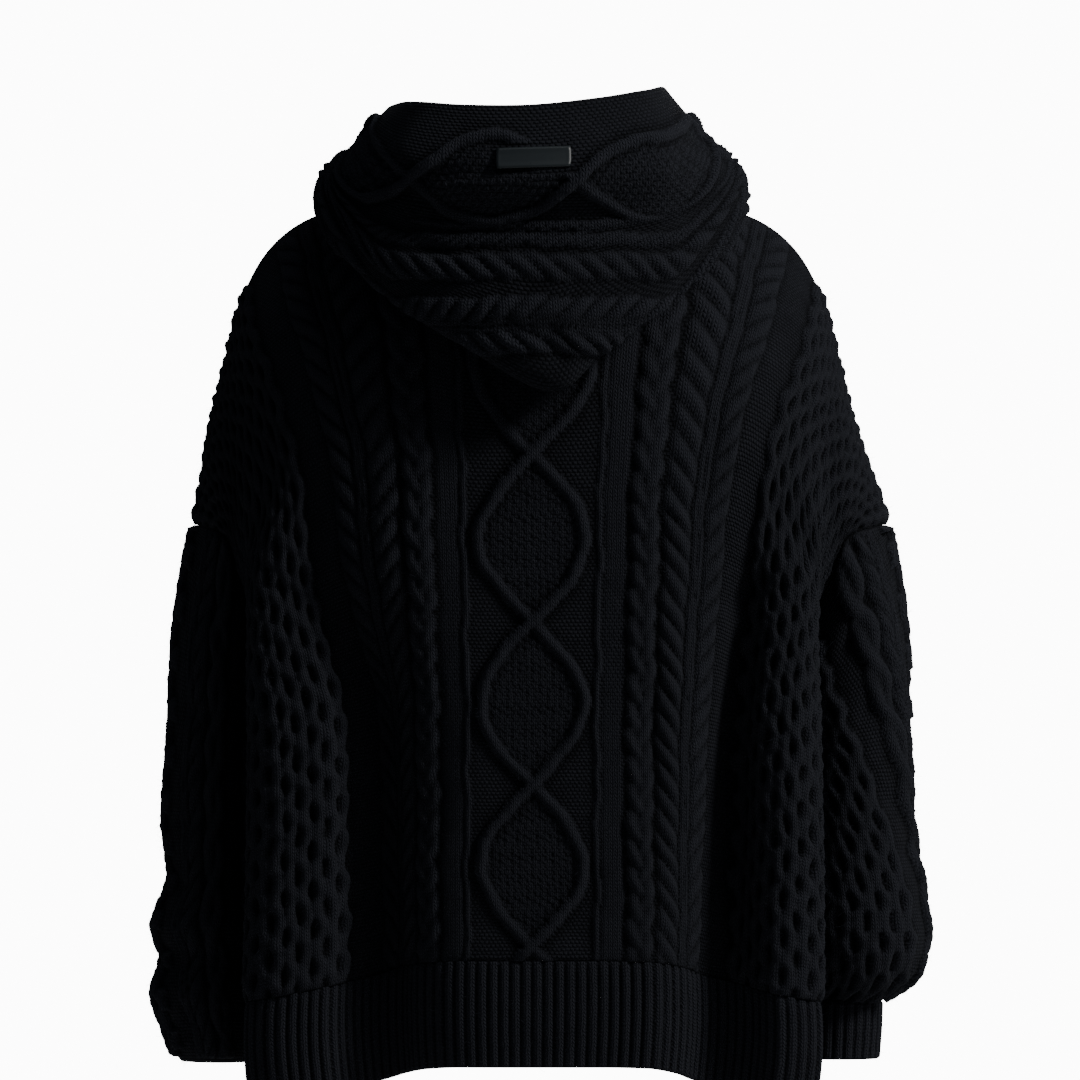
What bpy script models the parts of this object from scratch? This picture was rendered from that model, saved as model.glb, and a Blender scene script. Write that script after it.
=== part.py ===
"""Cable-knit pullover hoodie as worn, hollow: back and front panels, hood, label patch, sleeves, cuffs and hem rib.

Metres, +Z up, wearer faces +Y, origin at the base of the neck. Tables are in centimetres, one (x, y, z) per station.
"""

import math

import bmesh
import bpy
import numpy as np

for old in list(bpy.data.objects):
    bpy.data.objects.remove(old, do_unlink=True)

# ---- named sizes, metres ----
WALL = 0.003            # knitted fabric between cables
HOOD_WALL = 0.0034      # the hood's fabric is a little heavier
SEAM_GAP = 0.0003       # left between neighbouring pieces
CABLE = 0.0045          # how far a cable stands out
RIB = 0.0028            # how far a thin rib stands out
HONEYCOMB = 0.0032      # how far the honeycomb stands out
PANEL_LENGTH = 0.66     # centre back, neck seam to hem rib
DIAMOND = 0.1435        # one diamond, crossing to crossing
FIRST_CROSS = 0.005     # lowest crossing, above the hem rib
STRAND_NEAR = 0.009     # diamond strand from the centre line at a crossing
STRAND_FAR = 0.043      # and at the diamond's widest
HEM_DEPTH = 0.091       # hem rib
RIB_PITCH = 0.0138      # hem ribs

# ---- stations across half a panel, and rows down it (share of the panel's length) ----
STATIONS = np.array([0, 3, 6, 10, 13.8, 17.5, 20.5, 23.5, 27, 31, 36, 41.5]) / 100
ROWS = np.array([0, 0.125, 0.25, 0.335, 0.42, 0.445, 0.70, 1.0])
NECK_AT = STATIONS[2]
SIDE_AT = STATIONS[-1]
UNDERARM = ROWS[4]

SHOULDER = [(0, -7.8, 2.0), (4.6, -6.6, 2.6), (8.6, 0.0, 4.4), (14.4, 0.0, 3.0), (19.7, 1.0, 1.2), (22.5, 1.8, -1.0),
            (24.1, 2.3, -3.4), (25.1, 2.7, -5.8), (25.8, 3.0, -8.8), (26.7, 3.2, -12.8), (28.2, 3.4, -18.1),
            (30.5, 3.5, -24.9)]
BACK_YOKE = [(0, -11.6, -5.3), (3.7, -11.5, -5.2), (7.6, -10.4, -4.0), (13.0, -8.0, -3.0), (18.3, -6.0, -4.4),
             (21.4, -5.0, -6.3), (23.3, -4.2, -8.0), (24.4, -3.5, -10.0), (25.3, -2.8, -12.8), (26.3, -2.3, -15.7),
             (27.9, -1.9, -20.0), (29.4, -1.5, -25.1)]
BACK_BLADE = [(0, -13.6, -13.3), (3.4, -13.6, -13.2), (6.9, -13.2, -12.8), (11.7, -12.3, -12.1), (16.3, -10.9, -12.4),
              (19.2, -9.7, -13.3), (21.0, -8.8, -14.5), (22.4, -7.9, -16.0), (23.7, -6.9, -18.0), (25.1, -5.9, -20.5),
              (26.3, -5.3, -23.3), (26.9, -3.7, -26.3)]
BACK_ELBOW = [(0, -14.2, -19.0), (3.3, -14.2, -19.0), (6.6, -14.0, -18.8), (10.9, -13.4, -18.5), (14.9, -12.3, -18.8),
              (17.7, -11.2, -19.6), (19.5, -10.5, -20.6), (21.2, -9.9, -21.9), (22.8, -9.3, -23.7), (24.1, -8.3, -26.4),
              (23.9, -5.8, -29.8), (24.1, -1.2, -31.9)]
BACK_UNDERARM = [(0, -14.3, -24.8), (3.2, -14.3, -24.8), (6.4, -14.2, -24.7), (10.5, -13.8, -24.6), (14.2, -12.8, -24.9),
                 (16.9, -11.3, -25.7), (18.9, -10.6, -26.8), (21.0, -10.8, -28.0), (23.2, -10.0, -29.8),
                 (24.0, -7.5, -32.4), (21.9, -2.3, -34.5), (22.4, 3.5, -35.1)]
BACK_CREST = [(23.9, -7.8, -33.8), (22.0, -2.9, -35.9), (21.6, 3.2, -36.4)]
BACK_WAIST_RIGHT = [(0, -14.6, -43.0), (3.1, -14.6, -43.0), (6.1, -14.6, -43.0), (10.0, -14.3, -43.1),
                    (13.0, -13.3, -43.4), (15.2, -10.4, -43.9), (17.0, -8.8, -44.4), (19.3, -11.0, -45.2),
                    (22.1, -12.1, -46.6), (24.3, -9.8, -48.2), (23.0, -4.8, -49.7), (21.0, 0.8, -50.5)]
BACK_WAIST_LEFT = [(0, -14.6, -43.0), (3.0, -14.6, -43.0), (6.0, -14.4, -43.0), (9.5, -12.8, -43.1),
                   (11.4, -10.4, -43.4), (13.5, -9.3, -43.9), (15.7, -10.4, -44.4), (18.0, -12.0, -45.2),
                   (21.3, -12.0, -46.6), (23.9, -9.6, -48.2), (22.9, -4.8, -49.7), (21.0, 0.8, -50.5)]
BACK_HEM_RIGHT = [(0, -15.2, -62.2), (3.1, -15.2, -62.2), (6.1, -15.1, -62.2), (10.0, -14.7, -62.3),
                  (12.7, -12.6, -62.8), (14.4, -9.6, -63.5), (16.6, -8.5, -64.0), (18.9, -9.9, -64.5),
                  (21.4, -12.3, -65.2), (24.4, -10.6, -65.8), (23.8, -5.2, -66.1), (21.2, -0.2, -66.3)]
BACK_HEM_LEFT = [(0, -15.2, -62.2), (3.0, -15.2, -62.2), (6.0, -14.9, -62.2), (9.3, -12.9, -62.4),
                 (11.0, -9.8, -62.8), (13.2, -8.6, -63.5), (15.6, -10.2, -64.0), (18.0, -12.3, -64.5),
                 (21.3, -12.8, -65.2), (24.3, -10.7, -65.8), (23.8, -5.2, -66.1), (21.2, -0.2, -66.3)]
FRONT_NECK = [(0, 7.6, -5.0), (4.6, 6.0, -2.6)]
FRONT_YOKE = [(0, 10.6, -11.5), (3.6, 10.5, -11.0), (7.6, 9.2, -6.8), (12.8, 7.4, -4.6), (18.1, 6.9, -5.3),
              (21.3, 7.0, -6.9), (23.2, 7.3, -8.7), (24.4, 7.7, -10.7), (25.3, 8.0, -13.3), (26.3, 8.4, -16.1),
              (27.9, 8.7, -20.2), (29.4, 8.5, -25.1)]
FRONT_BLADE = [(0, 12.2, -18.5), (3.4, 12.2, -18.2), (6.9, 11.8, -16.5), (11.6, 11.4, -14.5), (16.0, 11.4, -14.2),
               (19.2, 11.4, -14.8), (21.0, 11.4, -15.8), (22.5, 11.4, -17.0), (23.8, 11.3, -18.7), (25.1, 11.2, -20.9),
               (26.4, 11.6, -23.3), (26.9, 10.7, -26.3)]
FRONT_ELBOW = [(0, 12.8, -24.0), (3.3, 12.8, -23.8), (6.6, 12.6, -22.6), (11.0, 12.5, -21.2), (14.9, 12.5, -21.0),
               (17.9, 12.6, -21.4), (19.8, 12.8, -22.1), (21.4, 13.1, -23.0), (22.8, 13.2, -24.5), (24.1, 12.8, -26.6),
               (23.9, 11.6, -29.8), (24.1, 8.2, -31.9)]
FRONT_UNDERARM = [(0, 13.0, -29.5), (3.2, 13.0, -29.3), (6.4, 12.9, -28.8), (10.7, 12.8, -27.8), (14.3, 12.8, -27.4),
                  (17.3, 12.9, -27.6), (19.5, 13.1, -28.2), (21.3, 13.2, -29.0), (22.4, 12.9, -30.4),
                  (22.9, 12.0, -32.4), (21.9, 8.9, -34.6), (22.4, 3.5, -35.1)]
FRONT_CREST = [(22.6, 11.9, -33.8), (21.9, 8.6, -36.0), (21.6, 3.2, -36.4)]
FRONT_WAIST = [(0, 12.9, -45.5), (3.1, 12.9, -45.5), (6.2, 12.8, -45.5), (10.2, 12.5, -45.5), (13.8, 11.4, -45.8),
               (16.6, 10.2, -46.2), (19.0, 10.8, -46.8), (21.0, 11.2, -47.6), (21.9, 9.6, -48.6), (21.8, 6.6, -49.4),
               (21.2, 3.6, -50.1), (21.0, 0.8, -50.5)]
FRONT_HEM = [(0, 12.6, -62.6), (3.1, 12.6, -62.6), (6.1, 12.4, -62.6), (10.0, 11.8, -62.8), (13.4, 10.4, -63.2),
             (16.2, 9.2, -63.8), (18.8, 10.2, -64.4), (21.0, 10.9, -65.0), (22.1, 8.8, -65.6), (22.0, 6.0, -66.0),
             (21.5, 2.8, -66.2), (21.2, -0.2, -66.3)]

# ---- sleeve and cuff sections: centre height, tilt (outer side up), centre x, centre y, half width, half depth ----
SLEEVE_RIGHT = [(-31.5, 4.6, 27.2, 3.9, 3.75, 7.0), (-37.0, 2.5, 27.6, 4.1, 4.5, 6.8),
                (-44.0, 0.8, 27.9, 4.2, 4.6, 6.6), (-52.0, 0, 28.0, 4.4, 4.7, 6.8), (-57.5, 0, 28.5, 4.6, 5.1, 7.4),
                (-60.8, 0, 28.6, 4.7, 5.3, 7.6), (-63.6, 0, 28.3, 4.7, 4.8, 6.8), (-65.2, 0, 27.2, 4.7, 3.9, 4.9),
                (-65.9, 0, 26.6, 4.7, 3.45, 4.4)]
SLEEVE_LEFT = [(-31.5, 4.6, 27.2, 3.9, 3.75, 7.0), (-37.0, 2.5, 27.6, 4.1, 4.5, 6.8),
               (-44.0, 0.8, 27.9, 4.2, 4.6, 6.6), (-50.5, 0, 28.1, 4.4, 4.9, 6.9), (-55.5, 0, 28.0, 4.5, 4.6, 6.9),
               (-59.5, 0, 28.6, 4.6, 5.3, 7.6), (-62.3, 0, 28.2, 4.7, 4.9, 7.1), (-65.3, 0, 28.6, 4.7, 5.3, 7.6),
               (-68.3, 0, 28.3, 4.7, 4.8, 7.1), (-70.4, 0, 28.0, 4.7, 4.3, 6.3), (-71.1, 0, 28.0, 4.7, 3.65, 5.5),
               (-68.6, 0, 27.8, 4.7, 3.35, 5.0), (-66.6, 0, 27.7, 4.7, 3.3, 4.8), (-65.7, 0, 27.7, 4.7, 2.9, 4.4),
               (-66.5, 0, 27.7, 4.7, 2.5, 4.0)]
CUFF_RIGHT = [(-65.9, 0, 26.6, 4.7, 3.45, 4.4), (-68.5, 0, 26.5, 4.7, 3.45, 4.4), (-71.1, 0, 26.4, 4.7, 3.35, 4.3)]
CUFF_LEFT = [(-66.5, 0, 27.7, 4.7, 2.5, 4.0), (-68.5, 0, 27.7, 4.7, 2.55, 4.1), (-71.0, 0, 27.7, 4.7, 2.5, 4.0)]

# ---- hood sections round half the neck from the back; columns: neck stand, inner leg, inner low, fold in, fold out,
#      outer leg, crease, bulge, rim
HOOD = [
    [(0, -9.4, 4.9), (0, -12.4, 1.6), (0, -14.6, -5.0), (1.2, -15.8, -12.5), (1.5, -18.0, -12.5), (0.6, -18.8, -6.4),
     (0, -18.0, 0.9), (0, -20.0, 5.0), (0, -17.8, 10.9)],
    [(5.0, -8.6, 5.2), (5.6, -11.8, 2.0), (5.6, -13.9, -4.0), (5.8, -15.0, -8.8), (6.0, -17.2, -8.9),
     (6.0, -18.0, -4.6), (6.0, -17.4, 1.0), (6.2, -19.3, 5.2), (5.6, -17.1, 10.9)],
    [(8.8, -5.8, 6.0), (10.2, -8.6, 3.4), (11.0, -11.2, -1.2), (11.6, -13.2, -5.2), (12.2, -15.0, -5.0),
     (12.4, -15.6, -1.6), (12.0, -15.2, 2.2), (11.8, -16.6, 6.2), (9.6, -14.7, 11.6)],
    [(10.3, -1.0, 7.0), (12.3, -3.4, 5.0), (14.4, -6.2, 2.0), (16.1, -8.8, -0.4), (17.4, -10.2, 0.2),
     (17.4, -10.6, 2.4), (16.4, -10.3, 4.8), (14.4, -9.7, 8.2), (11.3, -8.6, 11.9)],
    [(9.9, 2.0, 6.4), (12.2, 0.6, 5.4), (14.6, -0.8, 4.2), (16.3, -2.0, 3.6), (17.5, -2.9, 4.5), (17.2, -3.2, 6.0),
     (15.9, -3.2, 7.6), (14.0, -2.8, 9.2), (12.0, -2.0, 10.6)],
    [(7.9, 5.4, 3.2), (9.4, 5.6, 3.2), (11.0, 5.4, 2.9), (12.4, 5.1, 3.1), (13.5, 4.6, 4.2), (13.3, 4.1, 5.6),
     (12.6, 3.8, 6.7), (11.6, 3.6, 7.7), (10.4, 3.5, 8.5)],
    [(4.6, 8.0, -0.9), (5.5, 8.8, -0.8), (6.4, 9.3, -0.6), (7.4, 9.5, 0.0), (8.1, 9.2, 1.1), (8.1, 8.8, 2.2),
     (7.7, 8.4, 3.1), (7.1, 8.1, 3.9), (6.4, 7.8, 4.6)],
    [(0.5, 8.6, -3.6), (1.2, 9.5, -3.4), (2.0, 10.1, -2.9), (2.8, 10.4, -2.1), (3.3, 10.2, -1.2), (3.5, 9.9, -0.4),
     (3.5, 9.5, 0.3), (3.4, 9.2, 0.9), (3.2, 8.9, 1.5)],
]


# ---- smooth curves through tables ----
def slopes(knots, values):
    """Slopes at the knots that never let a curve overshoot its table."""
    gap = np.diff(knots).reshape((-1,) + (1,) * (values.ndim - 1))
    rise = np.diff(values, axis=0) / gap
    out = np.empty_like(values)
    w1 = 2 * gap[1:] + gap[:-1]
    w2 = gap[1:] + 2 * gap[:-1]
    same = rise[:-1] * rise[1:] > 0
    safe_a = np.where(same, rise[:-1], 1.0)
    safe_b = np.where(same, rise[1:], 1.0)
    out[1:-1] = np.where(same, (w1 + w2) / (w1 / safe_a + w2 / safe_b), 0.0)
    out[0] = rise[0]
    out[-1] = rise[-1]
    return out


def through(knots, values, at):
    """The curve through values at knots, for an array of places."""
    knots = np.asarray(knots, float)
    values = np.asarray(values, float)
    at = np.clip(np.asarray(at, float), knots[0], knots[-1])
    m = slopes(knots, values)
    i = np.clip(np.searchsorted(knots, at, side="right") - 1, 0, len(knots) - 2)
    h = knots[i + 1] - knots[i]
    t = (at - knots[i]) / h
    shape = at.shape + (1,) * (values.ndim - 1)
    t, h = t.reshape(shape), h.reshape(shape)
    a = (1 + 2 * t) * (1 - t) ** 2
    b = t * (1 - t) ** 2 * h
    c = t * t * (3 - 2 * t)
    d = t * t * (t - 1) * h
    return a * values[i] + b * m[i] + c * values[i + 1] + d * m[i + 1]


def flow(knots, values, at):
    """A rounder curve through values at evenly spaced knots, for folds."""
    at = np.clip(np.asarray(at, float), knots[0], knots[-1])
    m = np.gradient(np.asarray(values, float), axis=0)
    i = np.clip(np.searchsorted(knots, at, side="right") - 1, 0, len(knots) - 2)
    t = (at - knots[i]).reshape(at.shape + (1,) * (values.ndim - 1))
    bend = t * (1 - t) ** 2 * m[i] + t * t * (t - 1) * m[i + 1]
    return (1 + 2 * t) * (1 - t) ** 2 * values[i] + t * t * (3 - 2 * t) * values[i + 1] + bend


def on_chords(points, at, knots):
    """Edge points moved onto the straight lines between the seam's shared knots."""
    at = np.asarray(at, float)
    shared = np.min(np.abs(at[:, None] - np.asarray(knots)[None]), 1) < 1e-6
    return np.stack([np.interp(at, at[shared], points[shared, k]) for k in range(3)], -1)


def step(x):
    """0 to 1, eased."""
    x = np.clip(x, 0.0, 1.0)
    return x * x * (3 - 2 * x)


def unit(v):
    return v / np.maximum(np.linalg.norm(v, axis=-1, keepdims=True), 1e-9)


# ---- the worn form of each panel ----
def both_halves(right, left=None):
    """One row of a panel from its left edge to its right edge, in metres."""
    right = np.array(right) / 100
    left = right.copy() if left is None else np.array(left) / 100
    left[:, 0] *= -1
    return np.concatenate([left[:0:-1], right])


def crest_row(above, below, ends):
    """The row just under the armhole: between its neighbours, but turned in at the sides."""
    row = np.array(above) * 0.91 + np.array(below) * 0.09
    row[-len(ends):] = ends
    return row


ACROSS = np.concatenate([-STATIONS[:0:-1], STATIONS])
BACK = np.array([both_halves(SHOULDER), both_halves(BACK_YOKE), both_halves(BACK_BLADE), both_halves(BACK_ELBOW),
                 both_halves(BACK_UNDERARM), both_halves(crest_row(BACK_UNDERARM, BACK_WAIST_RIGHT, BACK_CREST)),
                 both_halves(BACK_WAIST_RIGHT, BACK_WAIST_LEFT), both_halves(BACK_HEM_RIGHT, BACK_HEM_LEFT)])
FRONT = np.array([both_halves(FRONT_NECK + SHOULDER[2:]), both_halves(FRONT_YOKE), both_halves(FRONT_BLADE),
                  both_halves(FRONT_ELBOW), both_halves(FRONT_UNDERARM),
                  both_halves(crest_row(FRONT_UNDERARM, FRONT_WAIST, FRONT_CREST)), both_halves(FRONT_WAIST),
                  both_halves(FRONT_HEM)])


def hole_ring(places, side):
    """The armhole of the right (side 1) or left (-1) arm; place 0 outside, 2 at the back, 4 underarm, 6 in front."""
    column = -1 if side > 0 else 0
    ring = np.concatenate([BACK[:5, column], FRONT[3:0:-1, column]])
    laps = np.concatenate([ring[-2:], ring, ring[:3]])
    return flow(np.arange(-2, 11), laps, np.mod(places, 8))


def panel(table, across, down):
    """Points of a panel; across is (rows, columns) in metres from the centre, down is one share for each row."""
    lines = through(ROWS, table, down)
    places = np.interp(down, ROWS[:5], np.arange(5))
    places = places if table is BACK else 8 - places
    above = (down <= UNDERARM)[:, None]
    lines[:, -1] = np.where(above, hole_ring(places, 1), lines[:, -1])
    lines[:, 0] = np.where(above, hole_ring(places, -1), lines[:, 0])
    return np.array([through(ACROSS, line, place) for line, place in zip(lines, across)])


def ring_normal(turn):
    """Outward direction at the armhole, turn 0 outside, pi at the underarm; positive round the back."""
    return np.stack([np.maximum(np.cos(turn), 0), -np.sin(turn), np.minimum(np.cos(turn), 0)], -1)


def hole_turn(down):
    """Where a share down a panel's edge lies round the armhole."""
    return np.interp(down, ROWS[:5], np.radians([0, 45, 90, 135, 180]))


def side_normal(down, back):
    """Outward direction along a panel's right edge: round the armhole, then down the side seam."""
    hole = ring_normal(hole_turn(down) * (1 if back else -1))
    t = step((down - UNDERARM) / 0.06)
    seam = unit(np.stack([t, 0 * t, t - 1], -1))
    return np.where((down <= UNDERARM)[..., None], hole, seam)


def neck_out(points, across):
    """Outward direction at the neck seam: level, but turned up at the shoulder seams."""
    level = unit(points * np.array([1.0, 1.0, 0.0]))
    corner = step(1 - np.abs(np.abs(across) - NECK_AT) / 0.012)[..., None]
    return unit(level * (1 - corner) + unit(level + np.array([0, 0, 1.0])) * corner)


def shoulder_out(points, across):
    """Outward direction along the shoulder seam, the same for back and front."""
    place = np.abs(across)
    ahead = through(ACROSS, BACK[0], np.minimum(place + 1e-4, SIDE_AT))
    behind = through(ACROSS, BACK[0], np.maximum(place - 1e-4, NECK_AT))
    run = ahead - behind
    up = unit(np.stack([-run[..., 2], 0 * place, run[..., 0]], -1))
    up[..., 0] *= np.where(across < 0, -1, 1)
    corner = step(1 - np.abs(place - NECK_AT) / 0.012)[..., None]
    level = unit(points * np.array([1.0, 1.0, 0.0]))
    return unit(up * (1 - corner) + unit(level + np.array([0, 0, 1.0])) * corner)


def rim_out(line, across, back):
    """Level outward direction where a panel meets the hem rib."""
    ahead = through(ACROSS, line, np.minimum(across + 1e-3, SIDE_AT))
    run = ahead - through(ACROSS, line, np.maximum(across - 1e-3, -SIDE_AT))
    out = unit(np.stack([run[..., 1], -run[..., 0], 0 * run[..., 0]], -1)) * (1 if back else -1)
    side = np.stack([np.where(across < 0, -1.0, 1.0), 0 * across, 0 * across], -1)
    return toward(out, side, step(1 - (SIDE_AT - np.abs(across)) / 0.02))


def toward(normals, edge, weight):
    return unit(normals * (1 - weight[..., None]) + edge * weight[..., None])


def panel_normals(table, across, down, points, back):
    """Outward directions over a panel; along each seam both neighbours share one direction."""
    tiny = 1e-3
    right = panel(table, np.minimum(across + tiny, SIDE_AT), down)
    left = panel(table, np.maximum(across - tiny, -SIDE_AT), down)
    low = panel(table, across, np.minimum(down + tiny, 1))
    high = panel(table, across, np.maximum(down - tiny, 0))
    normals = unit(np.cross(low - high, right - left)) * (1 if back else -1)
    rows = np.repeat(down[:, None], across.shape[1], 1)
    inside = (np.abs(across) < NECK_AT)[..., None]
    over = np.where(inside, neck_out(points, across), shoulder_out(points, across))
    normals = toward(normals, over, step(1 - (rows - down[0]) / 0.035))
    edge = np.repeat(side_normal(down, back)[:, None], across.shape[1], 1)
    edge[..., 0] *= np.where(across < 0, -1, 1)
    normals = toward(normals, edge, step(1 - (across.max() - np.abs(across)) / 0.022))
    rim = np.repeat(rim_out(table[-1], across[-1], back)[None], len(down), 0)
    return toward(normals, rim, step(1 - (down[-1] - rows) / 0.03))


def lean(points):
    """The left arm hangs a little closer than the right one."""
    out = points.copy()
    low = step((-points[..., 2] - 0.14) / 0.12)
    wide = step((np.abs(points[..., 0]) - 0.235) / 0.07)
    out[..., 0] += np.where(points[..., 0] < 0, 0.015 * low * wide, 0)
    return out


# ---- seams: neighbours share these places, and every other edge point lies on the straight lines between them ----
END_AT = SIDE_AT - SEAM_GAP
NECK_KNOTS = [0, 0.0132, 0.0264, 0.0384, 0.052, 0.060]
CHEST_KNOTS = [0.0772, 0.1064, 0.128, 0.149, 0.170, 0.190, 0.212, 0.234, 0.256, 0.278, 0.300, 0.322, 0.344, 0.366, 0.388,
               0.403]
HALF_KNOTS = np.array(NECK_KNOTS + CHEST_KNOTS + [END_AT])
INSET = SEAM_GAP * 0.6 / PANEL_LENGTH
CROSSING_ROWS = 1 - (FIRST_CROSS + DIAMOND / 5 * np.arange(12, 0, -1)) / PANEL_LENGTH
ARMHOLE_ROWS = [0.03, 0.0625, 0.094, 0.125, 0.1875, 0.25, 0.2925, 0.335, 0.3775, 0.42]
OUTER_DOWN = np.concatenate([[INSET], ARMHOLE_ROWS, CROSSING_ROWS, [1 - INSET]])
INNER_DOWN = OUTER_DOWN[[0, 1, 2, 4, 5, 6, 7, 8, 9, 10, 11, 13, 15, 17, 20, 23]]


def edge_place(down):
    """Places down a panel's edge, counted round the armhole and then down the side."""
    return np.interp(down, np.append(ROWS[:5], 1), [0, 1, 2, 3, 4, 12])


def mirror(half):
    return np.concatenate([-half[:0:-1], half])


# ---- solids ----
def zip_up(faces, points, first, first_at, second, second_at):
    """A strip of triangles between two edges whose points run the same way; both directions give the same strip."""
    i, j = 0, 0
    mid_a = [(a + b) / 2 for a, b in zip(first_at[:-1], first_at[1:])] + [1e9]
    mid_b = [(a + b) / 2 for a, b in zip(second_at[:-1], second_at[1:])] + [1e9]
    while i < len(first) - 1 or j < len(second) - 1:
        go_first = mid_a[i] < mid_b[j]
        if abs(mid_a[i] - mid_b[j]) < 1e-6:
            ahead = np.linalg.norm(points[first[i + 1]] - points[second[j]])
            go_first = ahead < np.linalg.norm(points[first[i]] - points[second[j + 1]])
        if go_first:
            faces.append((first[i], first[i + 1], second[j]))
            i += 1
        else:
            faces.append((first[i], second[j + 1], second[j]))
            j += 1


def grid_faces(index, points, closed, outward):
    """Two triangles a cell, folded along the diagonal that stands further out along outward times the cell's normal."""
    faces = []
    rows, cols = index.shape
    for r in range(rows - 1):
        for c in range(cols if closed else cols - 1):
            d = (c + 1) % cols
            a, b, e, f = points[r, c], points[r, d], points[r + 1, d], points[r + 1, c]
            normal = np.cross(e - a, f - b) * outward
            if (a + e - b - f) @ normal > 0:
                faces += [(index[r, c], index[r, d], index[r + 1, d]), (index[r, c], index[r + 1, d], index[r + 1, c])]
            else:
                faces += [(index[r, c], index[r, d], index[r + 1, c]), (index[r, d], index[r + 1, d], index[r + 1, c])]
    return faces


def facing(outer, inner):
    """1 where the outer sheet's cell normals point away from the inner sheet, -1 where they point at it."""
    cells = np.cross(outer[1:, 1:] - outer[:-1, :-1], outer[1:, :-1] - outer[:-1, 1:]).reshape(-1, 3)
    middles = (outer[1:, 1:] + outer[:-1, :-1]).reshape(-1, 3) / 2
    near = inner.reshape(-1, 3)
    closest = near[np.argmin(((middles[:, None] - near[None]) ** 2).sum(-1), 1)]
    return 1 if (cells * (middles - closest)).sum() > 0 else -1


def wall(name, outer, outer_at, inner, inner_at, closed, material):
    """A closed wall between a fine outer sheet and a plainer inner one; *_at are (row places, column places)."""
    outer, inner = lean(outer), lean(inner)
    index_o = np.arange(outer.shape[0] * outer.shape[1]).reshape(outer.shape[:2])
    index_i = np.arange(inner.shape[0] * inner.shape[1]).reshape(inner.shape[:2]) + index_o.size
    out = facing(outer, inner)
    faces = grid_faces(index_o, outer, closed, out) + grid_faces(index_i, inner, closed, -out)
    points = np.concatenate([outer.reshape(-1, 3), inner.reshape(-1, 3)])
    for row in (0, -1):
        a, b = list(index_o[row]), list(index_i[row])
        at_a, at_b = list(outer_at[1]), list(inner_at[1])
        if closed:
            a, b = a + a[:1], b + b[:1]
            at_a, at_b = at_a + [at_a[0] + closed], at_b + [at_b[0] + closed]
        zip_up(faces, points, a, at_a, b, at_b)
    if not closed:
        for col in (0, -1):
            zip_up(faces, points, list(index_o[:, col]), outer_at[0], list(index_i[:, col]), inner_at[0])
    mesh = bpy.data.meshes.new(name)
    mesh.from_pydata([tuple(p) for p in points.tolist()], [], [tuple(int(k) for k in f) for f in faces])
    shape = bmesh.new()
    shape.from_mesh(mesh)
    bmesh.ops.recalc_face_normals(shape, faces=shape.faces)
    shape.to_mesh(mesh)
    shape.free()
    mesh.materials.append(material)
    thing = bpy.data.objects.new(name, mesh)
    bpy.context.scene.collection.objects.link(thing)
    return thing


def matter(name, colour, roughness):
    material = bpy.data.materials.new(name)
    material.use_nodes = True
    shader = material.node_tree.nodes["Principled BSDF"]
    shader.inputs["Base Color"].default_value = colour
    shader.inputs["Roughness"].default_value = roughness
    return material


# ---- knitted relief ----
def fade(across, down):
    """Relief dies out at every seam."""
    sides = step((END_AT - np.abs(across)) / 0.012)
    ends = step((down - 0.03) / 0.05) * step((down[-1] - down) / 0.02)
    return sides * ends[:, None]


def wool_columns(down, full):
    """Half a panel's column lines and their heights; the diamond's strands travel across the rows."""
    above = (1 - down) * PANEL_LENGTH
    wave = np.abs(np.sin(math.pi * (above - FIRST_CROSS) / DIAMOND))
    strand = STRAND_NEAR + (STRAND_FAR - STRAND_NEAR) * wave
    top = step((down - 0.06) / 0.13)
    strand = 0.0324 * (1 - top) + strand * top
    places = [0 * strand, (strand - 0.006) * 0.5, strand - 0.006, strand, strand + 0.006]
    heights = [0.001, 0.0016, 0.001, CABLE, 0.0]
    if full:
        plain = [(0.0520, 0), (0.0560, RIB), (0.0600, 0.0008), (0.0700, RIB), (0.0772, 0), (0.0845, CABLE),
                 (0.0915, 0.002), (0.0985, CABLE), (0.1064, 0), (0.1172, RIB), (0.1280, 0), (0.1325, CABLE),
                 (0.1380, 0.002), (0.1435, CABLE), (0.1490, 0), (0.1585, RIB), (0.1700, 0), (0.1900, 0)]
        cells = np.concatenate([np.arange(0.212, 0.323, 0.011), [0.344, 0.366, 0.388, 0.403]])
    else:
        plain = [(0.0520, 0), (0.0600, RIB), (0.0772, 0), (0.0915, CABLE), (0.1064, 0), (0.1172, RIB), (0.1280, 0),
                 (0.1380, CABLE), (0.1490, 0), (0.1585, RIB), (0.1700, 0), (0.1900, 0)]
        cells = np.append(np.arange(0.212, 0.389, 0.022), 0.403)
    for place, height in plain:
        places.append(0 * strand + place)
        heights.append(height)
    across = np.stack(places, 1)
    height = np.repeat(np.array(heights)[None], len(down), 0)
    checker = (np.arange(len(down))[:, None] + np.arange(len(cells))[None]) % 2
    ones = np.ones((len(down), 1))
    across = np.concatenate([across, ones * cells, ones * END_AT], 1)
    height = np.concatenate([height, HONEYCOMB * checker * (1 if full else 0.6), 0 * ones], 1)
    return across, height


def knit_panel(name, table, back, material):
    """A back or front; its columns follow the cables."""
    down = OUTER_DOWN
    across, height = wool_columns(down, back)
    across = np.concatenate([-across[:, :0:-1], across], 1)
    height = np.concatenate([height[:, :0:-1], height], 1)
    points = panel(table, across, down)
    normals = panel_normals(table, across, down, points, back)
    outer = points + normals * (WALL / 2 + height * fade(across, down))[..., None]
    knots = mirror(HALF_KNOTS)
    for row in (0, -1):
        outer[row] = on_chords(outer[row], across[row], knots)
    inner_across = np.repeat(knots[None], len(INNER_DOWN), 0)
    inner = panel(table, inner_across, INNER_DOWN)
    inner = inner - panel_normals(table, inner_across, INNER_DOWN, inner, back) * (WALL / 2)
    return wall(name, outer, (edge_place(down), across[0]), inner, (edge_place(INNER_DOWN), knots), 0, material)


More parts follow.
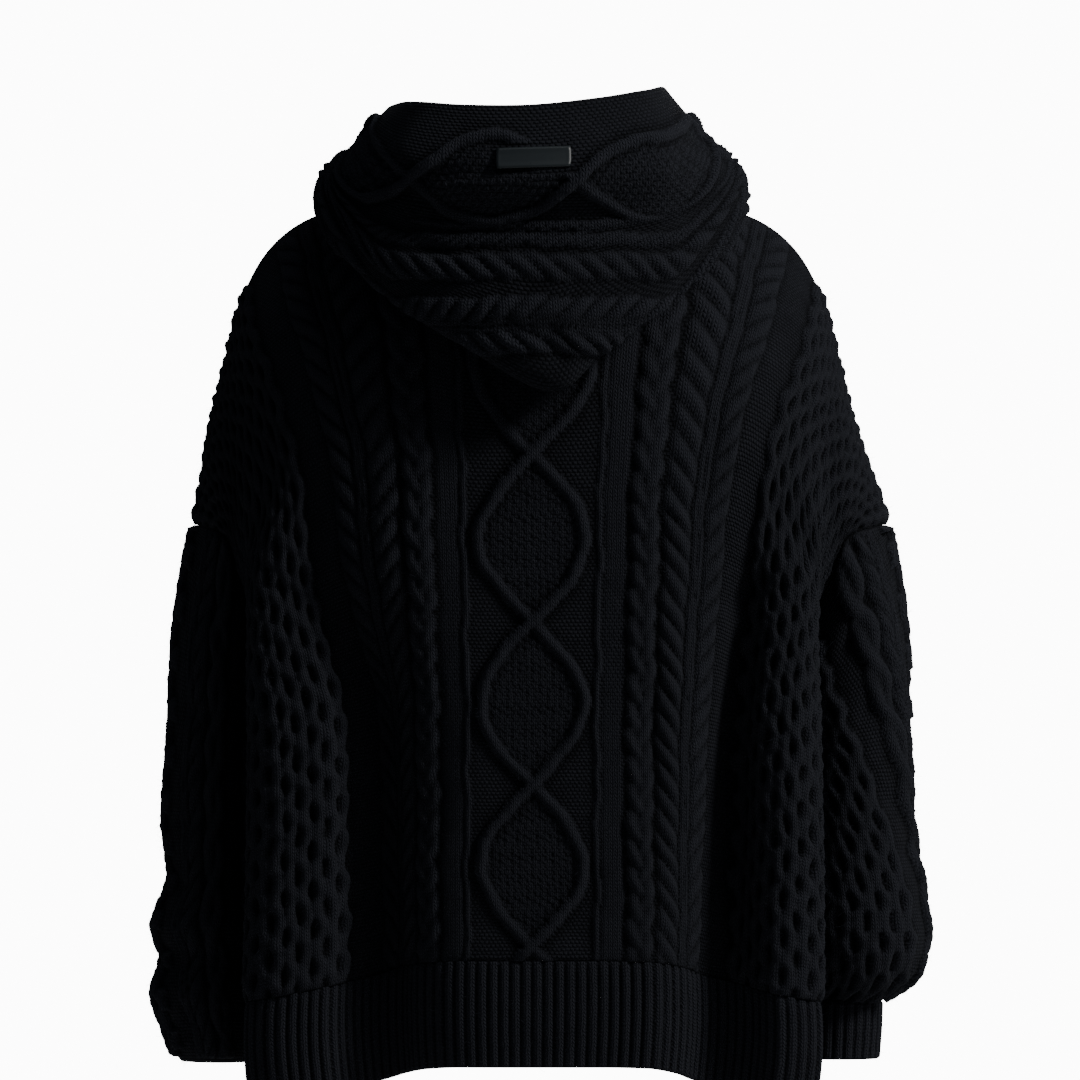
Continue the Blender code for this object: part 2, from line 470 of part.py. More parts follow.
# ---- hem rib ----
LAP = 4 * SIDE_AT


def body_ring(place):
    """The closed line under the panels and its outward directions; place runs from the centre back by the right."""
    place = np.mod(np.asarray(place, float), LAP)
    across = np.select([place <= SIDE_AT, place <= 3 * SIDE_AT], [place, 2 * SIDE_AT - place], place - LAP)
    back = (place <= SIDE_AT) | (place > 3 * SIDE_AT)
    points = np.where(back[:, None], through(ACROSS, BACK[-1], across), through(ACROSS, FRONT[-1], across))
    normals = np.where(back[:, None], rim_out(BACK[-1], across, True), rim_out(FRONT[-1], across, False))
    return points, normals


def ring_knots():
    half = np.concatenate([HALF_KNOTS[:-1], [SIDE_AT]])
    right = np.concatenate([half, 2 * SIDE_AT - half[-2::-1]])
    return np.concatenate([right, LAP - right[-2:0:-1]])


def rib_places(knots):
    """Ribs spaced between the knots: a groove and a ridge by turns."""
    out = []
    for a, b in zip(knots, np.append(knots[1:], LAP)):
        length = np.linalg.norm(body_ring([b])[0] - body_ring([a])[0])
        count = max(1, int(round(length / RIB_PITCH))) * 2
        out.append(a + (b - a) * np.arange(count) / count)
    return np.concatenate(out)


def hem_sheet(place, shares, lift):
    """The rib's sheet at shares of its depth, each row moved outward by its lift."""
    points, normals = body_ring(place)
    rows = []
    for share, push in zip(shares, lift):
        pull = 1 - 0.02 * share ** 2 + 0.01 * math.sin(math.pi * share)
        drop = np.array([0, 0, HEM_DEPTH * share + SEAM_GAP * 0.4])
        rows.append(points * np.array([pull, pull, 1]) - drop + normals * push[:, None])
    return np.array(rows)


def hem(material):
    shares = np.array([0, 0.08, 1.0])
    knots = ring_knots()
    place = rib_places(knots)
    ridge = np.where(np.arange(len(place)) % 2, RIB, 0)
    lift = [WALL / 2 + 0 * ridge] + [WALL / 2 + ridge] * 2
    outer = hem_sheet(place, shares, lift)
    closed_row = np.concatenate([outer[0], outer[0][:1]])
    outer[0] = on_chords(closed_row, np.append(place, LAP), np.append(knots, LAP))[:-1]
    ends = np.append(knots, LAP)
    halves = np.stack([knots, (ends[1:] + ends[:-1]) / 2], 1).ravel()
    few = np.array([0, 1.0])
    deep = np.full(len(halves), -WALL / 2)
    inner = hem_sheet(halves, few, [deep, deep - 0.0008])
    closed_row = np.concatenate([inner[0], inner[0][:1]])
    inner[0] = on_chords(closed_row, np.append(halves, LAP), ends)[:-1]
    return wall("hem_rib", outer, (shares, place), inner, (few, halves), LAP, material)


# ---- sleeves and cuffs ----
OCTANT = math.pi / 4


def section(row, turns, side):
    z, tilt, cx, cy, wide, deep = [value / 100 for value in row]
    x = cx + wide * np.cos(turns)
    y = cy - deep * np.sin(turns)
    return np.stack([side * x, y, z + tilt * np.cos(turns)], -1)


def section_out(row, turns, side):
    """Level outward direction of a section."""
    return unit(np.stack([side * np.cos(turns) / row[4], -np.sin(turns) / row[5], 0 * turns], -1))


def tube(table, turns, levels, side, head):
    """Rings of a sleeve or cuff; head says that the armhole is its first ring."""
    rings = [section(row, turns, side) for row in table]
    if head:
        rings = [hole_ring(turns / OCTANT, side)] + rings
    return flow(np.arange(len(rings)), np.array(rings), levels)


def tube_normals(table, turns, levels, side, head):
    tiny = 0.01
    last = len(table) - (0 if head else 1)
    ahead = tube(table, turns + tiny, levels, side, head) - tube(table, turns - tiny, levels, side, head)
    low = tube(table, turns, np.minimum(levels + tiny, last), side, head)
    high = tube(table, turns, np.maximum(levels - tiny, 0), side, head)
    normals = unit(np.cross(low - high, ahead)) * -side
    first = ring_normal(turns) * np.array([side, 1, 1]) if head else section_out(table[0], turns, side)
    near = step(1 - (levels - levels[0]) / 0.9)
    normals = toward(normals, np.repeat(first[None], len(levels), 0), np.repeat(near[:, None], len(turns), 1))
    if head:
        final = section_out(table[-1], turns, side)
        near = step(1 - (levels[-1] - levels) / 0.4)
        normals = toward(normals, np.repeat(final[None], len(levels), 0), np.repeat(near[:, None], len(turns), 1))
    return normals


def around_hole(down):
    """Turns of an armhole edge for a panel's rows: down the back, then up the front."""
    turns = hole_turn(down[down <= UNDERARM + 1e-9])
    turns[0] = 0
    return np.concatenate([turns, 2 * math.pi - turns[-2:0:-1]])


def sleeve_height(turns, levels):
    """A rope cable down the outside with a rib either side of it."""
    degrees = np.degrees(np.mod(turns + math.pi, 2 * math.pi)) - 180
    rope = CABLE * (np.abs(np.abs(degrees) - 11) < 4)
    ribs = RIB * (np.abs(np.abs(degrees) - 56) < 5)
    ends = step((levels - 0.2) / 0.8) * step((min(levels[-1], 9) - 0.3 - levels) / 0.8)
    return (rope + ribs)[None] * ends[:, None]


def sleeve(name, table, side, material):
    last = len(table)
    levels = np.concatenate([[0.02, 0.25, 0.6], np.arange(1, min(last, 8) - 0.2, 0.7), np.arange(8, last - 0.2, 0.5), [last - 0.006]])
    turns = around_hole(OUTER_DOWN)
    points = tube(table, turns, levels, side, True)
    normals = tube_normals(table, turns, levels, side, True)
    outer = points + normals * (WALL / 2 + sleeve_height(turns, levels))[..., None]
    few = around_hole(INNER_DOWN)
    inner = tube(table, few, levels, side, True)
    inner = inner - tube_normals(table, few, levels, side, True) * (WALL / 2)
    return wall(name, outer, (levels, turns / OCTANT), inner, (levels, few / OCTANT), 8, material)


def cuff(name, table, side, material):
    levels = np.array([0.01, 0.15, 2.0])
    knots = around_hole(OUTER_DOWN)
    ends = np.append(knots, 2 * math.pi)
    turns = np.stack([knots, (ends[1:] + ends[:-1]) / 2], 1).ravel()
    points = tube(table, turns, levels, side, False)
    normals = tube_normals(table, turns, levels, side, False)
    ridge = np.where(np.arange(len(turns)) % 2, RIB, 0.0) * (0.6 if side < 0 else 1)
    lift = np.array([WALL / 2 + 0 * ridge, WALL / 2 + ridge, WALL / 2 + ridge])
    outer = points + normals * lift[..., None]
    closed_row = np.concatenate([outer[0], outer[0][:1]])
    outer[0] = on_chords(closed_row, np.append(turns, 2 * math.pi), ends)[:-1]
    few = around_hole(INNER_DOWN)
    inner = tube(table, few, levels, side, False) - tube_normals(table, few, levels, side, False) * (WALL / 2)
    return wall(name, outer, (levels, turns / OCTANT), inner, (levels, few / OCTANT), 8, material)


# ---- hood ----
HOOD_ROUND = np.arange(-7, 8)
HOOD_DOWN = np.arange(0, 10)
FRONT_END = 7 - 0.003
BACK_PLACES = np.array(NECK_KNOTS) * 3 / NECK_AT
FRONT_PLACES = 7 - 4 * np.array(NECK_KNOTS[:-1])[::-1] / NECK_AT
HOOD_KNOTS = np.concatenate([BACK_PLACES, FRONT_PLACES[:-1], [FRONT_END]])


def neck_line(place):
    """The neck seam and its outward directions; place 0 centre back, 3 shoulder seams, 7 centre front."""
    far = np.abs(place)
    sign = np.where(place < 0, -1, 1)
    across = NECK_AT * np.where(far <= 3, far / 3, (7 - far) / 4)
    back = through(ACROSS, BACK[0], sign * across)
    front = through(ACROSS, FRONT[0], sign * across)
    points = np.where((far <= 3)[:, None], back, front)
    return points, neck_out(points, across)


def hood_table():
    right = np.array(HOOD) / 100
    left = right.copy()
    left[..., 0] *= -1
    left[0, :, 0] *= -1
    whole = np.concatenate([left[:0:-1], right])
    whole[8:11, 8, 2] += 0.006     # the rim stands higher on the right
    whole[8:10, 7, 2] += 0.003
    whole[8, 3:5, 2] -= 0.008
    whole[4:6, 8, 2] -= (0.007, 0.004)
    whole[3, 6:9, 0] += (0.010, 0.004, -0.004)     # its left side is flatter
    seam = neck_line(HOOD_ROUND.astype(float))[0] + np.array([0, 0, SEAM_GAP * 2])
    return np.concatenate([seam[:, None], whole], 1)


HOOD_NET = hood_table()


def hood_sheet(around, down):
    """Hood points for a row of places round the neck and a list of places down the section."""
    lines = flow(HOOD_ROUND, HOOD_NET, around)
    lines[:, 0] = neck_line(around)[0] + np.array([0, 0, SEAM_GAP * 2])
    return flow(HOOD_DOWN, np.swapaxes(lines, 0, 1), down)


def hood_normals(around, down):
    tiny = 0.01
    right = hood_sheet(np.minimum(around + tiny, 7), down) - hood_sheet(np.maximum(around - tiny, -7), down)
    low = hood_sheet(around, np.minimum(down + tiny, 9)) - hood_sheet(around, np.maximum(down - tiny, 0))
    normals = unit(np.cross(right, low))
    rim = np.repeat(neck_line(around)[1][None], len(down), 0)
    near = np.repeat(step(1 - down / 0.4)[:, None], len(around), 1)
    return toward(normals, rim, near)


def hood_height(around, down):
    """Two rope cables under the crease and a twin rib up the crown seam."""
    a, d = np.meshgrid(around, down)
    ropes = 0.8 * CABLE * ((np.abs(d - 6.45) < 0.05) + (np.abs(d - 6.05) < 0.05)) * step((3.4 - np.abs(a)) / 0.6)
    crown = RIB * (np.abs(np.abs(a) - 0.33) < 0.1) * step((5.9 - d) / 0.2) * step((d - 5.1) / 0.2)
    return ropes + crown


def hood(material):
    knots = HOOD_KNOTS
    half = np.sort(np.concatenate([knots, (knots[1:6] + knots[:5]) / 2]))
    around = mirror(half)
    down = np.array([0, 0.35, 0.7, 1, 1.35, 1.8, 2.4, 3, 3.6, 4, 4.33, 4.66, 5, 5.4, 5.8, 6.05, 6.25, 6.45, 6.7, 7,
                     7.3, 7.7, 8.08, 8.40, 9])
    points = hood_sheet(around, down)
    normals = hood_normals(around, down)
    outer = points + normals * (HOOD_WALL / 2 + hood_height(around, down))[..., None]
    outer[0] = on_chords(outer[0], around, mirror(knots))
    few = down[[0, 1, 2, 3, 4, 5, 6, 7, 9, 10, 11, 12, 14, 16, 19, 21, 22, 24]]
    inner = hood_sheet(around, few) - hood_normals(around, few) * (HOOD_WALL / 2)
    inner[0] = on_chords(inner[0], around, mirror(knots))
    return wall("hood", outer, (down, around), inner, (few, around), 0, material)


def patch(material):
    """The blank label patch, made from the hood's own points moved out."""
    around = np.array([-0.50, -0.33, 0, 0.33, 0.53])
    down = np.array([8.08, 8.40])
    points = hood_sheet(around, down)
    normals = hood_normals(around, down)
    low = points + normals * (HOOD_WALL / 2 + SEAM_GAP)
    high = points + normals * (HOOD_WALL / 2 + SEAM_GAP + 0.0012)
    return wall("label_patch", high, (down, around), low, (down, around), 0, material)


def build():
    wool = matter("wool", (0.012, 0.014, 0.020, 1), 0.9)
    patch_cloth = matter("patch", (0.010, 0.010, 0.012, 1), 0.6)
    knit_panel("back_panel", BACK, True, wool)
    knit_panel("front_panel", FRONT, False, wool)
    hem(wool)
    sleeve("sleeve_right", SLEEVE_RIGHT, 1, wool)
    sleeve("sleeve_left", SLEEVE_LEFT, -1, wool)
    cuff("cuff_right", CUFF_RIGHT, 1, wool)
    cuff("cuff_left", CUFF_LEFT, -1, wool)
    hood(wool)
    patch(patch_cloth)


build()
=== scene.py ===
"""Cable-knit pullover hoodie as worn, seen from the back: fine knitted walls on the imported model's forms.

Metres, +Z up, the wearer faces +Y. Form tables are in centimetres, one (x, y, z) per station.
"""

import math

import bmesh
import bpy
import numpy as np
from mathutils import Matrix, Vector


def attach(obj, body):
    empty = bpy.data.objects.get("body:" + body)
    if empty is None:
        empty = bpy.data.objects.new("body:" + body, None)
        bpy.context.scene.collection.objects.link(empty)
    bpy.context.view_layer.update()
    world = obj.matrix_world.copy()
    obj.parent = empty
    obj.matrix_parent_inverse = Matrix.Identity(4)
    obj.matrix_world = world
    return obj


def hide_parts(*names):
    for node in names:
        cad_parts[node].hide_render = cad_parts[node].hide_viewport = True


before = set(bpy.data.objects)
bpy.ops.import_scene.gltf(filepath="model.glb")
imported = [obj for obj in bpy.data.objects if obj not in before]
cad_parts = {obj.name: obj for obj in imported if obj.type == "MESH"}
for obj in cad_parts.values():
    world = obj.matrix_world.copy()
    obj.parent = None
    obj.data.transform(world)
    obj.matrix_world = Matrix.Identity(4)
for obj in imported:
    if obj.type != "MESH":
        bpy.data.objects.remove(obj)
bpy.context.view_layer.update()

# ---- camera, light and floor ----
# A long lens level with the middle of the back, soft light from the upper right, a weak fill, a pale floor.
PIXEL = 0.00086          # metres a pixel at the back
VIEW_DISTANCE = 14.0     # a long lens
FRAME_WIDTH = 1080 * PIXEL
BACK_PLANE = -0.06
VIEW_CENTRE = (0.0069, -0.262)


def in_scene(name, data):
    """A new object in the scene."""
    thing = bpy.data.objects.new(name, data)
    bpy.context.scene.collection.objects.link(thing)
    return thing


def colour(material, name, value):
    """Sets one input of a material's shader."""
    material.node_tree.nodes["Principled BSDF"].inputs[name].default_value = value


def plain_material(name, base, roughness, specular=None):
    """One colour, with no pattern."""
    material = bpy.data.materials.new(name)
    material.use_nodes = True
    colour(material, "Base Color", base)
    colour(material, "Roughness", roughness)
    if specular is not None:
        colour(material, "Specular IOR Level", specular)
    return material


def soft_light(name, place, aim, size, watts, tint):
    """A square area light at place, pointing at aim."""
    lamp = bpy.data.lights.new(name, "AREA")
    lamp.size = size
    lamp.energy = watts
    lamp.color = tint
    thing = in_scene(name, lamp)
    thing.location = place
    thing.rotation_euler = (Vector(aim) - Vector(place)).to_track_quat("-Z", "Y").to_euler()


view = bpy.data.cameras.new("camera")
view.angle = 2 * math.atan(FRAME_WIDTH / 2 / VIEW_DISTANCE)
view.clip_end = 60
camera = in_scene("camera", view)
camera.location = (VIEW_CENTRE[0], BACK_PLANE - VIEW_DISTANCE, VIEW_CENTRE[1])
camera.rotation_euler = (math.radians(90), 0, 0)
bpy.context.scene.camera = camera
soft_light("key", (2.7, -1.35, 1.9), (0, 0, -0.25), 0.7, 104, (1.0, 0.98, 0.95))
soft_light("top", (0.3, -1.0, 2.2), (0, 0, -0.3), 0.8, 5, (0.95, 0.97, 1.0))
soft_light("front", (0.4, 3.0, 0.6), (0, 0, -0.3), 1.6, 16, (1.0, 1.0, 1.0))

sky = bpy.data.worlds.new("studio")
sky.use_nodes = True
bpy.context.scene.world = sky
sky_nodes = sky.node_tree.nodes
sky_links = sky.node_tree.links
seen = sky_nodes.new("ShaderNodeLightPath")
lit = sky_nodes["Background"]
lit.inputs["Color"].default_value = (0.80, 0.88, 1.0, 1)
lit.inputs["Strength"].default_value = 0.09
white = sky_nodes.new("ShaderNodeBackground")
white.inputs["Color"].default_value = (1, 1, 1, 1)
white.inputs["Strength"].default_value = 12.0
choose = sky_nodes.new("ShaderNodeMixShader")
sky_links.new(seen.outputs["Is Camera Ray"], choose.inputs["Fac"])
sky_links.new(lit.outputs["Background"], choose.inputs[1])
sky_links.new(white.outputs["Background"], choose.inputs[2])
sky_links.new(choose.outputs["Shader"], sky_nodes["World Output"].inputs["Surface"])

FLOOR_LEVEL = -1.5
floor_mesh = bpy.data.meshes.new("floor")
corners = [(-3, -3), (3, -3), (3, 3), (-3, 3)]
floor_mesh.from_pydata([corner + (FLOOR_LEVEL,) for corner in corners], [], [(0, 1, 2, 3)])
floor = in_scene("floor", floor_mesh)
floor_mesh.materials.append(plain_material("floor_paint", (0.8, 0.8, 0.79, 1), 0.8))


# ---- wool ----
# Thick, soft, loosely spun wool, a black with a little blue in it. Stitches are read from the "stitch" map,
# which counts stitches across and rows up; "knit" is 1 on knit columns and 0 on purl ground.
def sum_of(tree, operation, first, second=None, third=None):
    """A math node; each input is a socket or a number."""
    node = tree.nodes.new("ShaderNodeMath")
    node.operation = operation
    for socket, value in zip(node.inputs, (first, second, third)):
        if value is None:
            continue
        if hasattr(value, "is_linked"):
            tree.links.new(value, socket)
        else:
            socket.default_value = value
    return node.outputs[0]


def wave(tree, value, pace):
    """The size of a sine of a value times pace."""
    return sum_of(tree, "ABSOLUTE", sum_of(tree, "SINE", sum_of(tree, "MULTIPLY", value, pace)))


def stitch_group():
    """Shared node group: the height of knit and purl stitches from stitch coordinates."""
    group = bpy.data.node_groups.new("stitch_relief", "ShaderNodeTree")
    face = group.interface
    face.new_socket("Stitch", in_out="INPUT", socket_type="NodeSocketVector")
    face.new_socket("Knit", in_out="INPUT", socket_type="NodeSocketFloat")
    face.new_socket("Height", in_out="OUTPUT", socket_type="NodeSocketFloat")
    given = group.nodes.new("NodeGroupInput")
    result = group.nodes.new("NodeGroupOutput")
    wobble = group.nodes.new("ShaderNodeTexNoise")
    wobble.inputs["Scale"].default_value = 0.35
    wobble.inputs["Detail"].default_value = 1.0
    group.links.new(given.outputs["Stitch"], wobble.inputs["Vector"])
    moved = group.nodes.new("ShaderNodeVectorMath")
    moved.operation = "MULTIPLY_ADD"
    moved.inputs[1].default_value = (0.5, 0.5, 0.0)
    group.links.new(wobble.outputs["Color"], moved.inputs[0])
    group.links.new(given.outputs["Stitch"], moved.inputs[2])
    split = group.nodes.new("ShaderNodeSeparateXYZ")
    group.links.new(moved.outputs[0], split.inputs[0])
    across, up = split.outputs[0], split.outputs[1]
    # knit: two leaning legs in each column
    side = sum_of(group, "PINGPONG", across, 0.5)
    lean_up = sum_of(group, "MULTIPLY_ADD", side, -1.3, up)
    leg = wave(group, lean_up, math.pi)
    column = wave(group, across, 2 * math.pi)
    knit = sum_of(group, "MULTIPLY", sum_of(group, "POWER", leg, 0.6), sum_of(group, "POWER", column, 0.5))
    # purl: short bars laid like bricks
    row = sum_of(group, "FLOOR", up)
    shifted = sum_of(group, "MULTIPLY_ADD", row, 0.5, across)
    bar = wave(group, shifted, math.pi)
    band = wave(group, up, math.pi)
    purl = sum_of(group, "MULTIPLY", sum_of(group, "POWER", bar, 0.7), band)
    mix = group.nodes.new("ShaderNodeMix")
    group.links.new(given.outputs["Knit"], mix.inputs[0])
    group.links.new(purl, mix.inputs[2])
    group.links.new(knit, mix.inputs[3])
    group.links.new(mix.outputs[0], result.inputs["Height"])
    return group


STITCH_RELIEF = stitch_group()
# The wool's colour runs from the first to the second: random patches and fibre grain, with painted shade in the
# dips between stitches, in the grooves of the relief and on the purl ground between cables.
YARN_DARK = (0.0010, 0.0012, 0.0020, 1)
YARN_LIGHT = (0.0170, 0.0185, 0.0245, 1)


def wool_material(name, stitch_depth):
    """Wool with its stitches as bump over the walls' own relief, and loose fibres as finer bump."""
    material = bpy.data.materials.new(name)
    material.use_nodes = True
    tree = material.node_tree
    shader = tree.nodes["Principled BSDF"]
    where = tree.nodes.new("ShaderNodeUVMap")
    where.uv_map = "stitch"
    knit = tree.nodes.new("ShaderNodeAttribute")
    knit.attribute_name = "knit"
    stitches = tree.nodes.new("ShaderNodeGroup")
    stitches.node_tree = STITCH_RELIEF
    tree.links.new(where.outputs["UV"], stitches.inputs["Stitch"])
    tree.links.new(knit.outputs["Fac"], stitches.inputs["Knit"])
    place = tree.nodes.new("ShaderNodeTexCoord")
    fibres = tree.nodes.new("ShaderNodeTexNoise")
    fibres.inputs["Scale"].default_value = 900
    fibres.inputs["Detail"].default_value = 3.0
    tree.links.new(place.outputs["Object"], fibres.inputs["Vector"])
    patches = tree.nodes.new("ShaderNodeTexNoise")
    patches.inputs["Scale"].default_value = 60
    patches.inputs["Detail"].default_value = 2.0
    tree.links.new(place.outputs["Object"], patches.inputs["Vector"])
    height = sum_of(tree, "MULTIPLY_ADD", fibres.outputs["Fac"], 0.55, stitches.outputs["Height"])
    bump = tree.nodes.new("ShaderNodeBump")
    bump.inputs["Strength"].default_value = 1.0
    bump.inputs["Distance"].default_value = stitch_depth
    tree.links.new(height, bump.inputs["Height"])
    tree.links.new(bump.outputs["Normal"], shader.inputs["Normal"])
    # Colour factor: random patches, plus the stitch height, which paints shade in the dips between stitches and
    # carries fibre grain as well.
    grain_and_shade = sum_of(tree, "MULTIPLY_ADD", patches.outputs["Fac"], 0.4, sum_of(tree, "MULTIPLY", height, 0.50))
    grain = sum_of(tree, "SUBTRACT", fibres.outputs["Fac"], 0.5)
    grain_and_shade = sum_of(tree, "MULTIPLY_ADD", grain, 1.3, grain_and_shade)
    # Painted shade in the grooves of the relief: darker where the relief lies under its surroundings, a little
    # lighter on its crests.
    hollow_shade = tree.nodes.new("ShaderNodeAttribute")
    hollow_shade.attribute_name = "hollow_shade"
    grain_and_shade = sum_of(tree, "MULTIPLY_ADD", hollow_shade.outputs["Fac"], -0.55, grain_and_shade)
    # Painted shade on the purl ground between cables: the cables are lighter, the ground darker.
    grain_and_shade = sum_of(tree, "MULTIPLY_ADD", knit.outputs["Fac"], 0.22, sum_of(tree, "SUBTRACT", grain_and_shade, 0.12))
    shade = tree.nodes.new("ShaderNodeMix")
    shade.data_type = "RGBA"
    shade.inputs[6].default_value = YARN_DARK
    shade.inputs[7].default_value = YARN_LIGHT
    tree.links.new(sum_of(tree, "MAXIMUM", grain_and_shade, 0.0), shade.inputs[0])
    tree.links.new(shade.outputs[2], shader.inputs["Base Color"])
    colour(material, "Roughness", 0.95)
    colour(material, "Specular IOR Level", 0.12)
    colour(material, "Sheen Weight", 0.02)
    colour(material, "Sheen Roughness", 0.6)
    colour(material, "Sheen Tint", (0.75, 0.82, 1.0, 1))
    return material


WOOL = wool_material("wool_yarn", 0.0013)


# ---- back panel ----
# The back: one knitted piece with wide dropped shoulders, chunky wool, sewn to the front, the sleeves, the hood
# and the hem rib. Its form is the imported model's; its cables are worked out from the centre line.
WALL = 0.003             # knitted fabric between cables
SEAM_GAP = 0.0001        # about how far a piece stops short of its seam
CABLE = 0.0050           # how far a cable stands out
PANEL_LENGTH = 0.66      # centre back, neck seam to hem rib
DIAMOND = 0.1425         # one diamond, crossing to crossing
FIRST_CROSS = 0.013      # lowest crossing, above the hem rib
STRAND_FAR = 0.043       # a strand's distance from the centre line where a diamond is widest

# stations across half a panel, and rows down it (share of the panel's length)
STATIONS = np.array([0, 3, 6, 10, 13.8, 17.5, 20.5, 23.5, 27, 31, 36, 41.5]) / 100
ROWS = np.array([0, 0.125, 0.25, 0.335, 0.42, 0.445, 0.70, 1.0])
NECK_AT = STATIONS[2]
SIDE_AT = STATIONS[-1]
UNDERARM = ROWS[4]

# one (x, y, z) in centimetres for each station, from the centre outwards
SHOULDER = [(0, -7.8, 2.0), (4.6, -6.6, 2.6), (8.6, 0.0, 4.4), (14.4, 0.0, 3.0), (19.7, 1.0, 1.2),
            (22.5, 1.8, -1.0), (24.1, 2.3, -3.4), (25.1, 2.7, -5.8), (25.8, 3.0, -8.8), (26.7, 3.2, -12.8),
            (28.2, 3.4, -18.1), (30.5, 3.5, -24.9)]
BACK_YOKE = [(0, -11.6, -5.3), (3.7, -11.5, -5.2), (7.6, -10.4, -4.0), (13.0, -8.0, -3.0),
             (18.3, -6.0, -4.4), (21.4, -5.0, -6.3), (23.3, -4.2, -8.0), (24.4, -3.5, -10.0),
             (25.3, -2.8, -12.8), (26.3, -2.3, -15.7), (27.9, -1.9, -20.0), (29.4, -1.5, -25.1)]
BACK_BLADE = [(0, -13.6, -13.3), (3.4, -13.6, -13.2), (6.9, -13.2, -12.8), (11.7, -12.3, -12.1),
              (16.3, -10.9, -12.4), (19.2, -9.7, -13.3), (21.0, -8.8, -14.5), (22.4, -7.9, -16.0),
              (23.7, -6.9, -18.0), (25.1, -5.9, -20.5), (26.3, -5.3, -23.3), (26.9, -3.7, -26.3)]
BACK_ELBOW = [(0, -14.2, -19.0), (3.3, -14.2, -19.0), (6.6, -14.0, -18.8), (10.9, -13.4, -18.5),
              (14.9, -12.3, -18.8), (17.7, -11.2, -19.6), (19.5, -10.5, -20.6), (21.2, -9.9, -21.9),
              (22.8, -9.3, -23.7), (24.1, -8.3, -26.4), (23.9, -5.8, -29.8), (24.1, -1.2, -31.9)]
BACK_UNDERARM = [(0, -14.3, -24.8), (3.2, -14.3, -24.8), (6.4, -14.2, -24.7), (10.5, -13.8, -24.6),
                 (14.2, -12.8, -24.9), (16.9, -11.3, -25.7), (18.9, -10.6, -26.8), (21.0, -10.8, -28.0),
                 (23.2, -10.0, -29.8), (24.0, -7.5, -32.4), (21.9, -2.3, -34.5), (22.4, 3.5, -35.1)]
BACK_CREST = [(23.9, -7.8, -33.8), (22.0, -2.9, -35.9), (21.6, 3.2, -36.4)]
BACK_WAIST_RIGHT = [(0, -14.6, -43.0), (3.1, -14.6, -43.0), (6.1, -14.6, -43.0), (10.0, -14.3, -43.1),
                    (13.0, -13.3, -43.4), (15.2, -10.4, -43.9), (17.0, -8.8, -44.4), (19.3, -11.0, -45.2),
                    (22.1, -12.1, -46.6), (24.3, -9.8, -48.2), (23.0, -4.8, -49.7), (21.0, 0.8, -50.5)]
BACK_WAIST_LEFT = [(0, -14.6, -43.0), (3.0, -14.6, -43.0), (6.0, -14.4, -43.0), (9.5, -12.8, -43.1),
                   (11.4, -10.4, -43.4), (13.5, -9.3, -43.9), (15.7, -10.4, -44.4), (18.0, -12.0, -45.2),
                   (21.3, -12.0, -46.6), (23.9, -9.6, -48.2), (22.9, -4.8, -49.7), (21.0, 0.8, -50.5)]
BACK_HEM_RIGHT = [(0, -15.2, -62.2), (3.1, -15.2, -62.2), (6.1, -15.1, -62.2), (10.0, -14.7, -62.3),
                  (12.7, -12.6, -62.8), (14.4, -9.6, -63.5), (16.6, -8.5, -64.0), (18.9, -9.9, -64.5),
                  (21.4, -12.3, -65.2), (24.4, -10.6, -65.8), (23.8, -5.2, -66.1), (21.2, -0.2, -66.3)]
BACK_HEM_LEFT = [(0, -15.2, -62.2), (3.0, -15.2, -62.2), (6.0, -14.9, -62.2), (9.3, -12.9, -62.4),
                 (11.0, -9.8, -62.8), (13.2, -8.6, -63.5), (15.6, -10.2, -64.0), (18.0, -12.3, -64.5),
                 (21.3, -12.8, -65.2), (24.3, -10.7, -65.8), (23.8, -5.2, -66.1), (21.2, -0.2, -66.3)]
FRONT_NECK = [(0, 7.6, -5.0), (4.6, 6.0, -2.6)]
FRONT_YOKE = [(0, 10.6, -11.5), (3.6, 10.5, -11.0), (7.6, 9.2, -6.8), (12.8, 7.4, -4.6), (18.1, 6.9, -5.3),
              (21.3, 7.0, -6.9), (23.2, 7.3, -8.7), (24.4, 7.7, -10.7), (25.3, 8.0, -13.3),
              (26.3, 8.4, -16.1), (27.9, 8.7, -20.2), (29.4, 8.5, -25.1)]
FRONT_BLADE = [(0, 12.2, -18.5), (3.4, 12.2, -18.2), (6.9, 11.8, -16.5), (11.6, 11.4, -14.5),
               (16.0, 11.4, -14.2), (19.2, 11.4, -14.8), (21.0, 11.4, -15.8), (22.5, 11.4, -17.0),
               (23.8, 11.3, -18.7), (25.1, 11.2, -20.9), (26.4, 11.6, -23.3), (26.9, 10.7, -26.3)]
FRONT_ELBOW = [(0, 12.8, -24.0), (3.3, 12.8, -23.8), (6.6, 12.6, -22.6), (11.0, 12.5, -21.2),
               (14.9, 12.5, -21.0), (17.9, 12.6, -21.4), (19.8, 12.8, -22.1), (21.4, 13.1, -23.0),
               (22.8, 13.2, -24.5), (24.1, 12.8, -26.6), (23.9, 11.6, -29.8), (24.1, 8.2, -31.9)]
FRONT_UNDERARM = [(0, 13.0, -29.5), (3.2, 13.0, -29.3), (6.4, 12.9, -28.8), (10.7, 12.8, -27.8),
                  (14.3, 12.8, -27.4), (17.3, 12.9, -27.6), (19.5, 13.1, -28.2), (21.3, 13.2, -29.0),
                  (22.4, 12.9, -30.4), (22.9, 12.0, -32.4), (21.9, 8.9, -34.6), (22.4, 3.5, -35.1)]
FRONT_CREST = [(22.6, 11.9, -33.8), (21.9, 8.6, -36.0), (21.6, 3.2, -36.4)]
